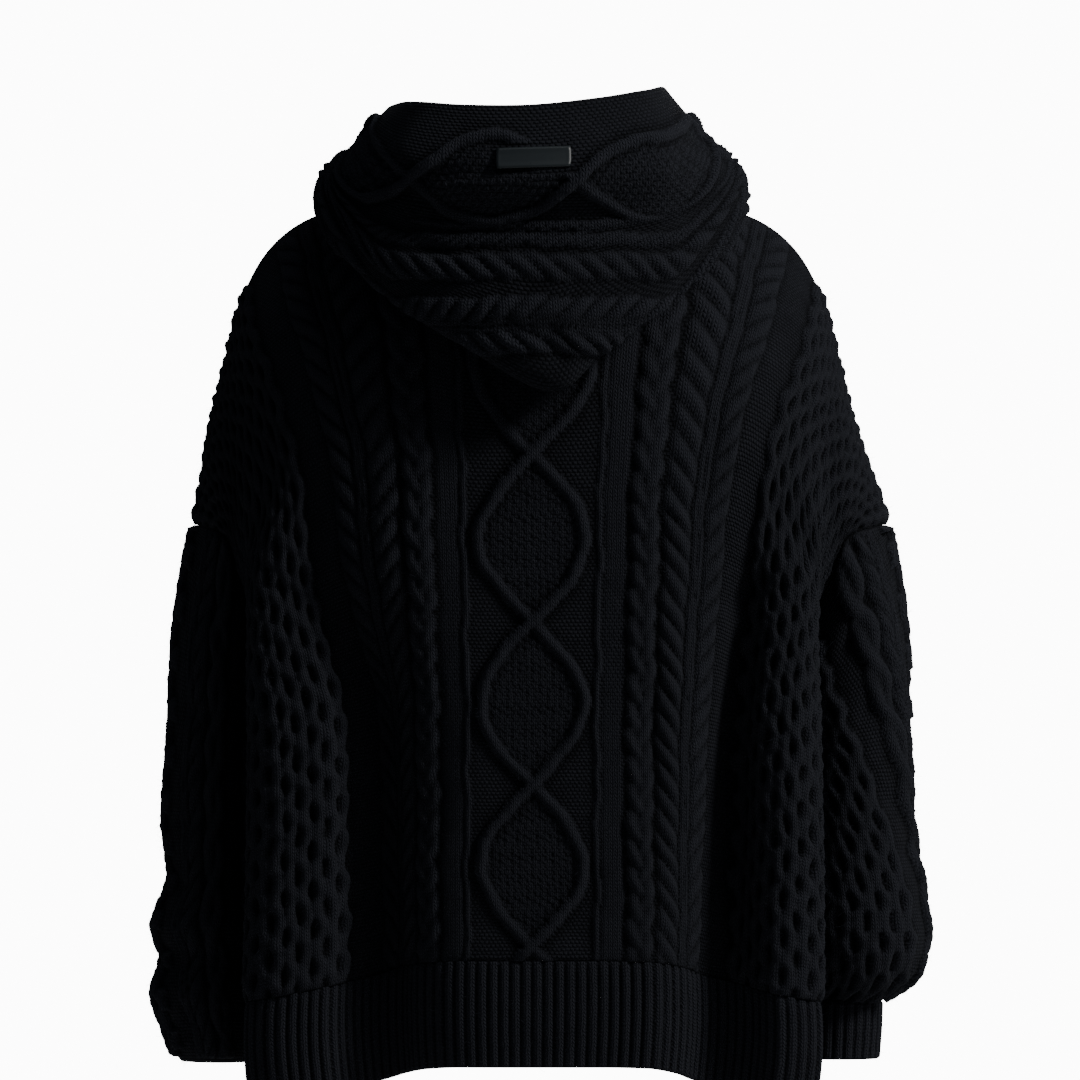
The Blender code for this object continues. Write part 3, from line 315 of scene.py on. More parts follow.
FRONT_WAIST = [(0, 12.9, -45.5), (3.1, 12.9, -45.5), (6.2, 12.8, -45.5), (10.2, 12.5, -45.5),
               (13.8, 11.4, -45.8), (16.6, 10.2, -46.2), (19.0, 10.8, -46.8), (21.0, 11.2, -47.6),
               (21.9, 9.6, -48.6), (21.8, 6.6, -49.4), (21.2, 3.6, -50.1), (21.0, 0.8, -50.5)]
FRONT_HEM = [(0, 12.6, -62.6), (3.1, 12.6, -62.6), (6.1, 12.4, -62.6), (10.0, 11.8, -62.8),
             (13.4, 10.4, -63.2), (16.2, 9.2, -63.8), (18.8, 10.2, -64.4), (21.0, 10.9, -65.0),
             (22.1, 8.8, -65.6), (22.0, 6.0, -66.0), (21.5, 2.8, -66.2), (21.2, -0.2, -66.3)]


def slopes(knots, values):
    """Slopes at the knots that never let a curve overshoot its table."""
    gap = np.diff(knots).reshape((-1,) + (1,) * (values.ndim - 1))
    rise = np.diff(values, axis=0) / gap
    out = np.empty_like(values)
    w1 = 2 * gap[1:] + gap[:-1]
    w2 = gap[1:] + 2 * gap[:-1]
    same = rise[:-1] * rise[1:] > 0
    safe_a = np.where(same, rise[:-1], 1.0)
    safe_b = np.where(same, rise[1:], 1.0)
    out[1:-1] = np.where(same, (w1 + w2) / (w1 / safe_a + w2 / safe_b), 0.0)
    out[0] = rise[0]
    out[-1] = rise[-1]
    return out


def through(knots, values, at):
    """The curve through values at knots, for an array of places."""
    knots = np.asarray(knots, float)
    values = np.asarray(values, float)
    at = np.clip(np.asarray(at, float), knots[0], knots[-1])
    m = slopes(knots, values)
    i = np.clip(np.searchsorted(knots, at, side="right") - 1, 0, len(knots) - 2)
    h = knots[i + 1] - knots[i]
    t = (at - knots[i]) / h
    shape = at.shape + (1,) * (values.ndim - 1)
    t, h = t.reshape(shape), h.reshape(shape)
    a = (1 + 2 * t) * (1 - t) ** 2
    b = t * (1 - t) ** 2 * h
    c = t * t * (3 - 2 * t)
    d = t * t * (t - 1) * h
    return a * values[i] + b * m[i] + c * values[i + 1] + d * m[i + 1]


def flow(knots, values, at):
    """A rounder curve through values at evenly spaced knots, for folds."""
    at = np.clip(np.asarray(at, float), knots[0], knots[-1])
    m = np.gradient(np.asarray(values, float), axis=0)
    i = np.clip(np.searchsorted(knots, at, side="right") - 1, 0, len(knots) - 2)
    t = (at - knots[i]).reshape(at.shape + (1,) * (values.ndim - 1))
    bend = t * (1 - t) ** 2 * m[i] + t * t * (t - 1) * m[i + 1]
    return (1 + 2 * t) * (1 - t) ** 2 * values[i] + t * t * (3 - 2 * t) * values[i + 1] + bend


def step(x):
    """0 to 1, eased."""
    x = np.clip(x, 0.0, 1.0)
    return x * x * (3 - 2 * x)


def unit(v):
    """Vectors made one long."""
    return v / np.maximum(np.linalg.norm(v, axis=-1, keepdims=True), 1e-9)


def both_halves(right, left=None):
    """One row of a panel from its left edge to its right edge, in metres."""
    right = np.array(right) / 100
    left = right.copy() if left is None else np.array(left) / 100
    left[:, 0] *= -1
    return np.concatenate([left[:0:-1], right])


def crest_row(above, below, ends):
    """The row just under the armhole: between its neighbours, but turned in at the sides."""
    row = np.array(above) * 0.91 + np.array(below) * 0.09
    row[-len(ends):] = ends
    return row


ACROSS = np.concatenate([-STATIONS[:0:-1], STATIONS])
BACK_ROWS = [(SHOULDER,), (BACK_YOKE,), (BACK_BLADE,), (BACK_ELBOW,), (BACK_UNDERARM,),
             (crest_row(BACK_UNDERARM, BACK_WAIST_RIGHT, BACK_CREST),), (BACK_WAIST_RIGHT, BACK_WAIST_LEFT),
             (BACK_HEM_RIGHT, BACK_HEM_LEFT)]
FRONT_ROWS = [FRONT_NECK + SHOULDER[2:], FRONT_YOKE, FRONT_BLADE, FRONT_ELBOW, FRONT_UNDERARM,
              crest_row(FRONT_UNDERARM, FRONT_WAIST, FRONT_CREST), FRONT_WAIST, FRONT_HEM]
BACK = np.array([both_halves(*row) for row in BACK_ROWS])
FRONT = np.array([both_halves(row) for row in FRONT_ROWS])


def hole_ring(places, side):
    """The right (side 1) or left (-1) armhole; place 0 outside, 2 at the back, 4 underarm, 6 in front."""
    column = -1 if side > 0 else 0
    ring = np.concatenate([BACK[:5, column], FRONT[3:0:-1, column]])
    laps = np.concatenate([ring[-2:], ring, ring[:3]])
    return flow(np.arange(-2, 11), laps, np.mod(places, 8))


def panel(table, across, down):
    """Points of a panel; across is (rows, columns) in metres from the centre, down a share for each row."""
    lines = through(ROWS, table, down)
    places = np.interp(down, ROWS[:5], np.arange(5))
    places = places if table is BACK else 8 - places
    above = (down <= UNDERARM)[:, None]
    lines[:, -1] = np.where(above, hole_ring(places, 1), lines[:, -1])
    lines[:, 0] = np.where(above, hole_ring(places, -1), lines[:, 0])
    return np.array([through(ACROSS, line, place) for line, place in zip(lines, across)])


def ring_normal(turn):
    """Outward direction at the armhole, turn 0 outside, pi at the underarm; positive round the back."""
    return np.stack([np.maximum(np.cos(turn), 0), -np.sin(turn), np.minimum(np.cos(turn), 0)], -1)


def hole_turn(down):
    """Where a share down a panel's edge lies round the armhole."""
    return np.interp(down, ROWS[:5], np.radians([0, 45, 90, 135, 180]))


def side_normal(down, back):
    """Outward direction along a panel's right edge: round the armhole, then down the side seam."""
    hole = ring_normal(hole_turn(down) * (1 if back else -1))
    t = step((down - UNDERARM) / 0.06)
    seam = unit(np.stack([t, 0 * t, t - 1], -1))
    return np.where((down <= UNDERARM)[..., None], hole, seam)


def neck_out(points, across):
    """Outward direction at the neck seam: level, but turned up at the shoulder seams."""
    level = unit(points * np.array([1.0, 1.0, 0.0]))
    corner = step(1 - np.abs(np.abs(across) - NECK_AT) / 0.012)[..., None]
    return unit(level * (1 - corner) + unit(level + np.array([0, 0, 1.0])) * corner)


def shoulder_out(points, across):
    """Outward direction along the shoulder seam, the same for back and front."""
    place = np.abs(across)
    ahead = through(ACROSS, BACK[0], np.minimum(place + 1e-4, SIDE_AT))
    behind = through(ACROSS, BACK[0], np.maximum(place - 1e-4, NECK_AT))
    run = ahead - behind
    up = unit(np.stack([-run[..., 2], 0 * place, run[..., 0]], -1))
    up[..., 0] *= np.where(across < 0, -1, 1)
    corner = step(1 - np.abs(place - NECK_AT) / 0.012)[..., None]
    level = unit(points * np.array([1.0, 1.0, 0.0]))
    return unit(up * (1 - corner) + unit(level + np.array([0, 0, 1.0])) * corner)


def rim_out(line, across, back):
    """Level outward direction where a panel meets the hem rib."""
    ahead = through(ACROSS, line, np.minimum(across + 1e-3, SIDE_AT))
    run = ahead - through(ACROSS, line, np.maximum(across - 1e-3, -SIDE_AT))
    out = unit(np.stack([run[..., 1], -run[..., 0], 0 * run[..., 0]], -1)) * (1 if back else -1)
    side = np.stack([np.where(across < 0, -1.0, 1.0), 0 * across, 0 * across], -1)
    return toward(out, side, step(1 - (SIDE_AT - np.abs(across)) / 0.02))


def toward(normals, edge, weight):
    """Directions turned toward an edge's own, by weight."""
    return unit(normals * (1 - weight[..., None]) + edge * weight[..., None])


def panel_normals(table, across, down, points, back):
    """Outward directions over a panel; along each seam both neighbours share one direction."""
    tiny = 1e-3
    right = panel(table, np.minimum(across + tiny, SIDE_AT), down)
    left = panel(table, np.maximum(across - tiny, -SIDE_AT), down)
    low = panel(table, across, np.minimum(down + tiny, 1))
    high = panel(table, across, np.maximum(down - tiny, 0))
    normals = unit(np.cross(low - high, right - left)) * (1 if back else -1)
    rows = np.repeat(down[:, None], across.shape[1], 1)
    inside = (np.abs(across) < NECK_AT)[..., None]
    over = np.where(inside, neck_out(points, across), shoulder_out(points, across))
    normals = toward(normals, over, step(1 - (rows - down[0]) / 0.035))
    edge = np.repeat(side_normal(down, back)[:, None], across.shape[1], 1)
    edge[..., 0] *= np.where(across < 0, -1, 1)
    normals = toward(normals, edge, step(1 - (across.max() - np.abs(across)) / 0.022))
    rim = np.repeat(rim_out(table[-1], across[-1], back)[None], len(down), 0)
    return toward(normals, rim, step(1 - (down[-1] - rows) / 0.03))


def lean(points):
    """The left arm hangs a little closer than the right one."""
    out = points.copy()
    low = step((-points[..., 2] - 0.14) / 0.12)
    wide = step((np.abs(points[..., 0]) - 0.235) / 0.07)
    out[..., 0] += np.where(points[..., 0] < 0, 0.015 * low * wide, 0)
    return out


# how far the panels stop short of their seams
END_AT = SIDE_AT - SEAM_GAP
INSET = SEAM_GAP * 0.6 / PANEL_LENGTH


# knitted walls
STITCH_WIDE = 0.0038     # one stitch across
STITCH_TALL = 0.0032     # one row


def zip_up(faces, first, first_at, second, second_at):
    """A strip of triangles between two edges whose points run the same way."""
    i, j = 0, 0
    mid_a = [(a + b) / 2 for a, b in zip(first_at[:-1], first_at[1:])] + [1e9]
    mid_b = [(a + b) / 2 for a, b in zip(second_at[:-1], second_at[1:])] + [1e9]
    while i < len(first) - 1 or j < len(second) - 1:
        if mid_a[i] <= mid_b[j]:
            faces.append((first[i], first[i + 1], second[j]))
            i += 1
        else:
            faces.append((first[i], second[j + 1], second[j]))
            j += 1


def lapped(values, closed):
    """A grid with its first column repeated at the end where it closes into a tube."""
    return np.concatenate([values, values[:, :1]], 1) if closed else values


def cells(index, closed):
    """The four corners of every cell of a grid."""
    index = lapped(index, closed)
    return np.stack([index[:-1, :-1], index[:-1, 1:], index[1:, 1:], index[1:, :-1]], -1).reshape(-1, 4)


def stitch_map(rows, columns, closed):
    """Stitch coordinates of a grid, one column more where it closes."""
    columns = np.append(columns, columns[0] + closed) if closed else columns
    return np.stack(np.broadcast_arrays(columns[None], rows[:, None]), -1)


def smoothed(values, reach):
    """A grid averaged over a square of cells, for finding what lies under its surroundings."""
    for axis in (0, 1):
        padded = np.pad(values, [(reach, reach) if k == axis else (0, 0) for k in (0, 1)], mode="edge")
        total = np.cumsum(np.insert(padded, 0, 0, axis), axis)
        high = np.take(total, range(2 * reach + 1, total.shape[axis]), axis)
        low = np.take(total, range(total.shape[axis] - 2 * reach - 1), axis)
        values = (high - low) / (2 * reach + 1)
    return values


def shell(name, outer, outer_at, inner, inner_at, closed, relief, material):
    """A closed wall of a fine outer sheet and a plainer inner one.

    *_at are (row places, column places, row stitches, column stitches); closed is the lap in column places. The
    "knit" attribute is 1 on cables, and "hollow" grows where the relief lies under its surroundings. The wool
    paints shade into its colour by both: on the purl ground between cables and in the grooves of the relief.
    """
    outer, inner = lean(outer), lean(inner)
    faces, maps = [], []
    start = 0
    for sheet, at in ((outer, outer_at), (inner, inner_at)):
        index = start + np.arange(sheet.shape[0] * sheet.shape[1]).reshape(sheet.shape[:2])
        lap = closed * (at[3][-1] - at[3][0]) / (at[1][-1] - at[1][0]) if closed else 0
        grid = stitch_map(at[2], at[3], round(lap))
        spots = np.arange(grid.shape[0] * grid.shape[1]).reshape(grid.shape[:2])
        faces.append(cells(index, closed))
        maps.append(grid.reshape(-1, 2)[cells(spots, False)].reshape(-1, 2))
        start = index.max() + 1
        if sheet is outer:
            index_o = index
    index_i = index
    rims = []
    for row in (0, -1):
        a, b = list(index_o[row]), list(index_i[row])
        at_a, at_b = list(outer_at[1]), list(inner_at[1])
        if closed:
            a, b = a + a[:1], b + b[:1]
            at_a, at_b = at_a + [at_a[0] + closed], at_b + [at_b[0] + closed]
        zip_up(rims, a, at_a, b, at_b)
    if not closed:
        for column in (0, -1):
            zip_up(rims, list(index_o[:, column]), outer_at[0], list(index_i[:, column]), inner_at[0])
    points = np.concatenate([outer.reshape(-1, 3), inner.reshape(-1, 3)])
    mesh = bpy.data.meshes.new(name)
    rim_faces = [tuple(int(k) for k in face) for face in rims]
    mesh.from_pydata(points, [], faces[0].tolist() + faces[1].tolist() + rim_faces)
    layer = mesh.uv_layers.new(name="stitch")
    spots = np.concatenate(maps + [np.zeros((3 * len(rims), 2))])
    layer.data.foreach_set("uv", spots.ravel().astype(np.float32))
    # This mask chooses knit or purl stitches, and also paints shade into the wool's colour on the purl ground
    # between cables.
    knit = step(relief / 0.0012)
    # A mask for painted shade: the wool's colour is darker in grooves and a little lighter on crests.
    hollow_shade = np.clip((smoothed(smoothed(relief, 2), 2) - relief) / 0.0022, -1, 1)
    for name_of, values in (("knit", knit), ("hollow_shade", hollow_shade)):
        layer = mesh.attributes.new(name_of, "FLOAT", "POINT")
        whole = np.concatenate([values.ravel(), np.zeros(inner.shape[0] * inner.shape[1])])
        layer.data.foreach_set("value", whole.astype(np.float32))
    outside = mesh.attributes.new("outside", "FLOAT", "FACE")
    outside.data.foreach_set("value", (np.arange(len(mesh.polygons)) < len(faces[0])).astype(np.float32))
    shape = bmesh.new()
    shape.from_mesh(mesh)
    bmesh.ops.recalc_face_normals(shape, faces=shape.faces)
    shape.to_mesh(mesh)
    shape.free()
    mesh.shade_smooth()
    mesh.materials.append(material)
    return in_scene(name, mesh)


def fibre_group():
    """Geometry nodes: loose fibres that stand out of the faces marked outside, each a thin bent ribbon."""
    group = bpy.data.node_groups.new("loose_fibres", "GeometryNodeTree")
    face = group.interface
    face.new_socket("Geometry", in_out="INPUT", socket_type="NodeSocketGeometry")
    kinds = {"Density": "Float", "Length": "Float", "Width": "Float", "Seed": "Int", "Wool": "Material"}
    for label, kind in kinds.items():
        face.new_socket(label, in_out="INPUT", socket_type="NodeSocket" + kind)
    face.new_socket("Geometry", in_out="OUTPUT", socket_type="NodeSocketGeometry")
    given = group.nodes.new("NodeGroupInput")
    result = group.nodes.new("NodeGroupOutput")
    link = group.links.new
    # one fibre: a strip up the z axis, narrower and bent over at its end
    strip = group.nodes.new("GeometryNodeMeshGrid")
    for label, value in (("Size X", 1.0), ("Size Y", 1.0), ("Vertices X", 2), ("Vertices Y", 3)):
        strip.inputs[label].default_value = value
    spot = group.nodes.new("GeometryNodeInputPosition")
    split = group.nodes.new("ShaderNodeSeparateXYZ")
    link(spot.outputs[0], split.inputs[0])
    up = sum_of(group, "ADD", split.outputs[1], 0.5)
    thin = sum_of(group, "MULTIPLY", sum_of(group, "MULTIPLY_ADD", up, -0.6, 1.0), given.outputs["Width"])
    placed = group.nodes.new("ShaderNodeCombineXYZ")
    link(sum_of(group, "MULTIPLY", split.outputs[0], thin), placed.inputs[0])
    reach = sum_of(group, "MULTIPLY", given.outputs["Length"], 0.6)
    link(sum_of(group, "MULTIPLY", sum_of(group, "POWER", up, 2.0), reach), placed.inputs[1])
    link(sum_of(group, "MULTIPLY", up, given.outputs["Length"]), placed.inputs[2])
    bent = group.nodes.new("GeometryNodeSetPosition")
    link(strip.outputs["Mesh"], bent.inputs["Geometry"])
    link(placed.outputs[0], bent.inputs["Position"])
    # scattered over the outer faces, leaning every way
    marked = group.nodes.new("GeometryNodeInputNamedAttribute")
    marked.inputs["Name"].default_value = "outside"
    scatter = group.nodes.new("GeometryNodeDistributePointsOnFaces")
    link(given.outputs["Geometry"], scatter.inputs["Mesh"])
    link(marked.outputs[0], scatter.inputs["Selection"])
    link(given.outputs["Density"], scatter.inputs["Density"])
    link(given.outputs["Seed"], scatter.inputs["Seed"])
    tilt = group.nodes.new("FunctionNodeRandomValue")
    tilt.data_type = "FLOAT_VECTOR"
    tilt.inputs["Min"].default_value = (-1.1, -1.1, -3.1)
    tilt.inputs["Max"].default_value = (1.1, 1.1, 3.1)
    link(given.outputs["Seed"], tilt.inputs["Seed"])
    turned = group.nodes.new("FunctionNodeEulerToRotation")
    link(tilt.outputs[0], turned.inputs[0])
    both = group.nodes.new("FunctionNodeRotateRotation")
    both.rotation_space = "LOCAL"
    link(scatter.outputs["Rotation"], both.inputs[0])
    link(turned.outputs[0], both.inputs[1])
    sizes = group.nodes.new("FunctionNodeRandomValue")
    sizes.data_type = "FLOAT"
    sizes.inputs[2].default_value = 0.5
    sizes.inputs[3].default_value = 1.5
    link(given.outputs["Seed"], sizes.inputs["Seed"])
    stand = group.nodes.new("GeometryNodeInstanceOnPoints")
    link(scatter.outputs["Points"], stand.inputs["Points"])
    link(bent.outputs["Geometry"], stand.inputs["Instance"])
    link(both.outputs[0], stand.inputs["Rotation"])
    link(sizes.outputs[1], stand.inputs["Scale"])
    real = group.nodes.new("GeometryNodeRealizeInstances")
    link(stand.outputs["Instances"], real.inputs["Geometry"])
    coat = group.nodes.new("GeometryNodeSetMaterial")
    link(real.outputs["Geometry"], coat.inputs["Geometry"])
    link(given.outputs["Wool"], coat.inputs["Material"])
    link(coat.outputs["Geometry"], result.inputs["Geometry"])
    return group


LOOSE_FIBRES = fibre_group()
FIBRES_A_METRE = 30000   # loose fibres on a square metre of knitting
FIBRE_LONG = 0.0042
FIBRE_WIDE = 0.00016
FUZZ = plain_material("wool_fuzz", (0.020, 0.022, 0.030, 1), 0.9, 0.1)


def made_by(piece, group, name, values):
    """A new piece: what a geometry nodes group makes from another piece's mesh."""
    source = in_scene(name, piece.data)
    work = source.modifiers.new(name, "NODES")
    work.node_group = group
    for item in group.interface.items_tree:
        if item.in_out == "INPUT" and item.name in values:
            work[item.identifier] = values[item.name]
    mesh = bpy.data.meshes.new_from_object(source.evaluated_get(bpy.context.evaluated_depsgraph_get()))
    bpy.data.objects.remove(source)
    thing = in_scene(name, mesh)
    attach(thing, "root")
    return thing


def hang(piece, node, seed=1):
    """Sets a knitted piece in its node's place with its loose fibres."""
    fibres = made_by(piece, LOOSE_FIBRES, piece.name.replace("knit", "fuzz"),
                     {"Density": FIBRES_A_METRE, "Length": FIBRE_LONG, "Width": FIBRE_WIDE,
                      "Seed": seed, "Wool": FUZZ})
    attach(piece, "root")
    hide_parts(node)


# cables, worked out for u metres across from the centre line and v metres up from the hem rib
STRAND = 0.0050          # half width of a diamond's strand
MOSS_WIDE = 0.0056       # one column of the broken rib inside the diamonds
MOSS_TALL = 0.0078
LEAF = 0.0212            # one leaf of the leaf ropes
PLAIT = 0.0720           # one full turn of the plait
CELL_WIDE = 0.0120       # from one honeycomb strand to the next
CELL_TALL = 0.0345       # one honeycomb cell
THIN_RIB = 0.0024        # how far a thin rib stands out


def ridge(distance, half_width):
    """A rounded cross-section, 1 in the middle and 0 from its edge on."""
    return np.sqrt(np.clip(1 - (distance / half_width) ** 2, 0, 1))


def diamonds(u, v, reach=STRAND_FAR):
    """Two strands that cross in a lattice of diamonds, with broken rib inside them."""
    phase = math.pi * (v - FIRST_CROSS) / DIAMOND
    out = reach * np.sin(phase)
    square = 1 / np.sqrt(1 + (reach * math.pi / DIAMOND * np.cos(phase)) ** 2)
    over = 0.0012 * np.cos(phase)
    one = ridge((u - out) * square, STRAND) * (CABLE + over)
    two = ridge((u + out) * square, STRAND) * (CABLE - over)
    inside = step((np.abs(out) - np.abs(u) - 0.0045) / 0.003)
    column = np.floor(u / MOSS_WIDE)
    bumps = 0.55 + 0.45 * np.cos(2 * math.pi * v / MOSS_TALL + math.pi * column)
    moss = np.abs(np.sin(math.pi * u / MOSS_WIDE)) * bumps
    return np.maximum(np.maximum(one, two), 0.0017 * inside * moss)


def ladder(u, v):
    """A thin rib beside a raised band of bold purl."""
    rib = THIN_RIB * ridge(u - 0.0545, 0.0024)
    band = step((0.0098 - np.abs(u - 0.0672)) / 0.003)
    return np.maximum(rib, band * (0.0011 + 0.0006 * np.cos(2 * math.pi * v / STITCH_TALL)))


def plait(u, v, centre, swing=0.0070):
    """Three soft strands plaited over and under."""
    height = 0 * u
    for strand in range(3):
        turn = 2 * math.pi * (v / PLAIT + strand / 3)
        square = 1 / np.sqrt(1 + (swing * 2 * math.pi / PLAIT * np.cos(turn)) ** 2)
        across = (u - centre - swing * np.sin(turn)) * square
        height = np.maximum(height, ridge(across, 0.0056) * (0.88 * CABLE + 0.0013 * np.sin(2 * turn)))
    return height


def leaves(u, v, centre, toward, half=0.0118, pitch=LEAF):
    """A rope of slanting leaves that point at a rib; toward is 1 where the rib is at the higher u."""
    slant = (u - centre) / half * toward
    turn = (v + 0.0125 * slant) / pitch
    leaf = np.abs(np.sin(math.pi * turn)) ** 0.7
    return ridge(slant, 1.0) * CABLE * (0.10 + 0.98 * leaf)


def twin_rib(u, centre=0.138):
    """Two thin ribs side by side."""
    return THIN_RIB * np.maximum(ridge(u - centre + 0.0027, 0.0026), ridge(u - centre - 0.0027, 0.0026))


def honeycomb(u, v, first=0.2145, last=0.43):
    """Wavering strands that touch their neighbours by turns."""
    nearest = np.round((u - first) / CELL_WIDE)
    turn = np.cos(2 * math.pi * v / CELL_TALL)
    sway = 0.0023 * np.sign(turn) * np.abs(turn) ** 0.6
    height = 0 * u
    for step_by in (-1, 0, 1):
        strand = nearest + step_by
        sign = np.where(strand % 2 == 0, 1, -1)
        lies = first + strand * CELL_WIDE + sign * sway
        there = (strand >= 0) & (lies < last)
        lift = 1 + 0.10 * sign * np.sin(4 * math.pi * v / CELL_TALL)
        height = np.maximum(height, there * lift * 1.18 * CABLE * ridge(u - lies, 0.0063))
    return height


def waver(u, v):
    """Small unevenness of hand and wear, metres sideways."""
    slow = 0.0010 * np.sin(2 * math.pi * v / 0.097 + 9 * u)
    return slow + 0.0006 * np.sin(2 * math.pi * v / 0.041 + 31 * u)


def unevenness(u, v):
    """How the yarn's fullness varies from place to place, about 1."""
    slow = np.sin(61 * u + 23 * v) + np.sin(43 * v - 37 * u + 1.3)
    quick = np.sin(310 * u + 170 * np.sin(3 * v)) * np.sin(290 * v + 2 * np.sin(97 * u))
    return 1 + 0.05 * slow + 0.09 * quick


def body_cables(u, v):
    """Height of the cables of a back or front; the left half mirrors the right."""
    far = np.abs(u) + waver(u, v)
    side = diamonds(u + waver(v, v), v)
    side = np.maximum(side, ladder(far, v))
    side = np.maximum(side, plait(far, v, 0.0916))
    side = np.maximum(side, leaves(far, v, 0.1190, 1))
    side = np.maximum(side, twin_rib(far))
    side = np.maximum(side, leaves(far, v, 0.1570, -1))
    return np.maximum(side, honeycomb(far, v)) * unevenness(u, v)


# soft creases: across, down (share), run across, run down, half width, depth; metres
BACK_CREASES = [(0.216, 0.36, -0.006, 0.70, 0.020, 0.0120), (-0.166, 0.46, 0.004, 0.62, 0.019, 0.0090),
                (0.262, 0.43, -0.10, 0.10, 0.012, 0.0035), (0.300, 0.38, -0.09, -0.02, 0.013, 0.0030),
                (-0.270, 0.42, 0.11, 0.12, 0.013, 0.0035), (-0.320, 0.36, 0.09, -0.05, 0.012, 0.0025),
                (0.090, 0.60, 0.02, 0.24, 0.016, 0.0025), (-0.075, 0.66, -0.01, 0.20, 0.015, 0.0020),
                (0.060, 0.86, -0.03, 0.14, 0.014, 0.0022), (-0.200, 0.72, -0.02, 0.18, 0.015, 0.0025)]


def creases(across, down, table, length=PANEL_LENGTH):
    """Depth of soft troughs laid over a sheet."""
    depth = 0 * across
    for x, d, run_x, run_d, half, deep in table:
        run = np.array([run_x, run_d * length])
        size = np.linalg.norm(run)
        run = run / size
        dx, dy = across - x, (down - d) * length
        along = (dx * run[0] + dy * run[1]) / size
        aside = dx * run[1] - dy * run[0]
        depth += deep * np.exp(-(aside / half) ** 2) * step(along / 0.3) * step((1 - along) / 0.3)
    return depth


def seam_fade(across, down):
    """Cables die out at the seams."""
    sides = step((END_AT + 0.001 - np.abs(across)) / 0.007)
    ends = step((down - 0.002) / 0.012) * (1 - 0.5 * step((down - 0.985) / 0.015))
    return sides * ends


def knit_panel(name, table, back, material, crease_table, rows, columns):
    """A back or front wall: fine cables outside, plain inside."""
    down = np.linspace(INSET, 1 - INSET, rows)
    across = np.repeat(np.linspace(-END_AT, END_AT, columns)[None], rows, 0)
    high = np.repeat(down[:, None], columns, 1)
    above = (1 - high) * PANEL_LENGTH
    relief = body_cables(across, above) * seam_fade(across, high)
    points = panel(table, across, down)
    normals = panel_normals(table, across, down, points, back)
    fold = creases(across, high, crease_table)
    outer = points + normals * (WALL / 2 + relief - fold)[..., None]
    few_down = np.linspace(INSET, 1 - INSET, 70)
    few = np.linspace(-END_AT, END_AT, 121)
    few_across = np.repeat(few[None], len(few_down), 0)
    inner = panel(table, few_across, few_down)
    few_fold = creases(few_across, np.repeat(few_down[:, None], len(few), 1), crease_table)
    inner_out = panel_normals(table, few_across, few_down, inner, back)
    inner = inner - inner_out * (WALL / 2 + few_fold)[..., None]
    at = (down, across[0], (1 - down) * PANEL_LENGTH / STITCH_TALL, across[0] / STITCH_WIDE)
    inner_at = (few_down, few, (1 - few_down) * PANEL_LENGTH / STITCH_TALL, few / STITCH_WIDE)
    return shell(name, outer, at, inner, inner_at, 0, relief, material)


back = knit_panel("knit_back", BACK, True, WOOL, BACK_CREASES, rows=206, columns=391)
hang(back, "back_panel", seed=11)


# ---- front panel ----
# The front: the same wool and cables as the back with a curved neck, sewn to the same pieces. The photograph
# doesn't show it, so it carries the back's layout.
FRONT_CREASES = [(0.250, 0.45, -0.10, 0.12, 0.013, 0.0035), (-0.262, 0.44, 0.09, 0.13, 0.012, 0.0035),
                 (0.120, 0.58, 0.02, 0.25, 0.016, 0.0030), (-0.110, 0.62, -0.03, 0.22, 0.016, 0.0025),
                 (0.020, 0.80, 0.03, 0.15, 0.015, 0.0022), (0.210, 0.74, -0.02, 0.18, 0.014, 0.0028)]
front = knit_panel("knit_front", FRONT, False, WOOL, FRONT_CREASES, rows=170, columns=331)
hang(front, "front_panel", seed=12)


# ---- sleeves ----
# Full sleeves of the same wool, sewn into the dropped armholes and gathered onto the cuffs: a bold rope cable
# runs from the back of the armhole to the wrist, with a rib beside it and honeycomb behind. The left one is
# pushed up and puffs down over its cuff.
# rings: height, tilt, centre x and y, half width, half depth; centimetres
SLEEVE_TOP = [(-31.5, 4.6, 27.2, 3.9, 3.75, 7.0), (-37.0, 2.5, 27.6, 4.1, 4.5, 6.8),
              (-44.0, 0.8, 27.9, 4.2, 4.6, 6.6)]
SLEEVE_RIGHT = SLEEVE_TOP + [(-52.0, 0, 28.0, 4.4, 4.7, 6.8), (-57.5, 0, 28.5, 4.6, 5.1, 7.4),
                (-60.8, 0, 28.6, 4.7, 5.3, 7.6), (-63.6, 0, 28.3, 4.7, 4.8, 6.8),
                (-65.2, 0, 27.2, 4.7, 3.9, 4.9), (-65.9, 0, 26.6, 4.7, 3.45, 4.4)]
SLEEVE_LEFT = SLEEVE_TOP + [(-50.5, 0, 28.1, 4.4, 4.9, 6.9), (-55.5, 0, 28.0, 4.5, 4.6, 6.9),
               (-59.5, 0, 28.6, 4.6, 5.3, 7.6), (-62.3, 0, 28.2, 4.7, 4.9, 7.1),
               (-65.3, 0, 28.6, 4.7, 5.3, 7.6), (-68.3, 0, 28.3, 4.7, 4.8, 7.1),
               (-70.4, 0, 28.0, 4.7, 4.3, 6.3), (-71.1, 0, 28.0, 4.7, 3.65, 5.5),
               (-68.6, 0, 27.8, 4.7, 3.35, 5.0), (-66.6, 0, 27.7, 4.7, 3.3, 4.8),
               (-65.7, 0, 27.7, 4.7, 2.9, 4.4), (-66.5, 0, 27.7, 4.7, 2.5, 4.0)]

OCTANT = math.pi / 4


def section(row, turns, side):
    """Points of one ring of a sleeve or cuff; side is 1 on the right."""
    z, tilt, cx, cy, wide, deep = [value / 100 for value in row]
    x = cx + wide * np.cos(turns)
    y = cy - deep * np.sin(turns)
    return np.stack([side * x, y, z + tilt * np.cos(turns)], -1)


def section_out(row, turns, side):
    """Level outward direction of a section."""
    return unit(np.stack([side * np.cos(turns) / row[4], -np.sin(turns) / row[5], 0 * turns], -1))


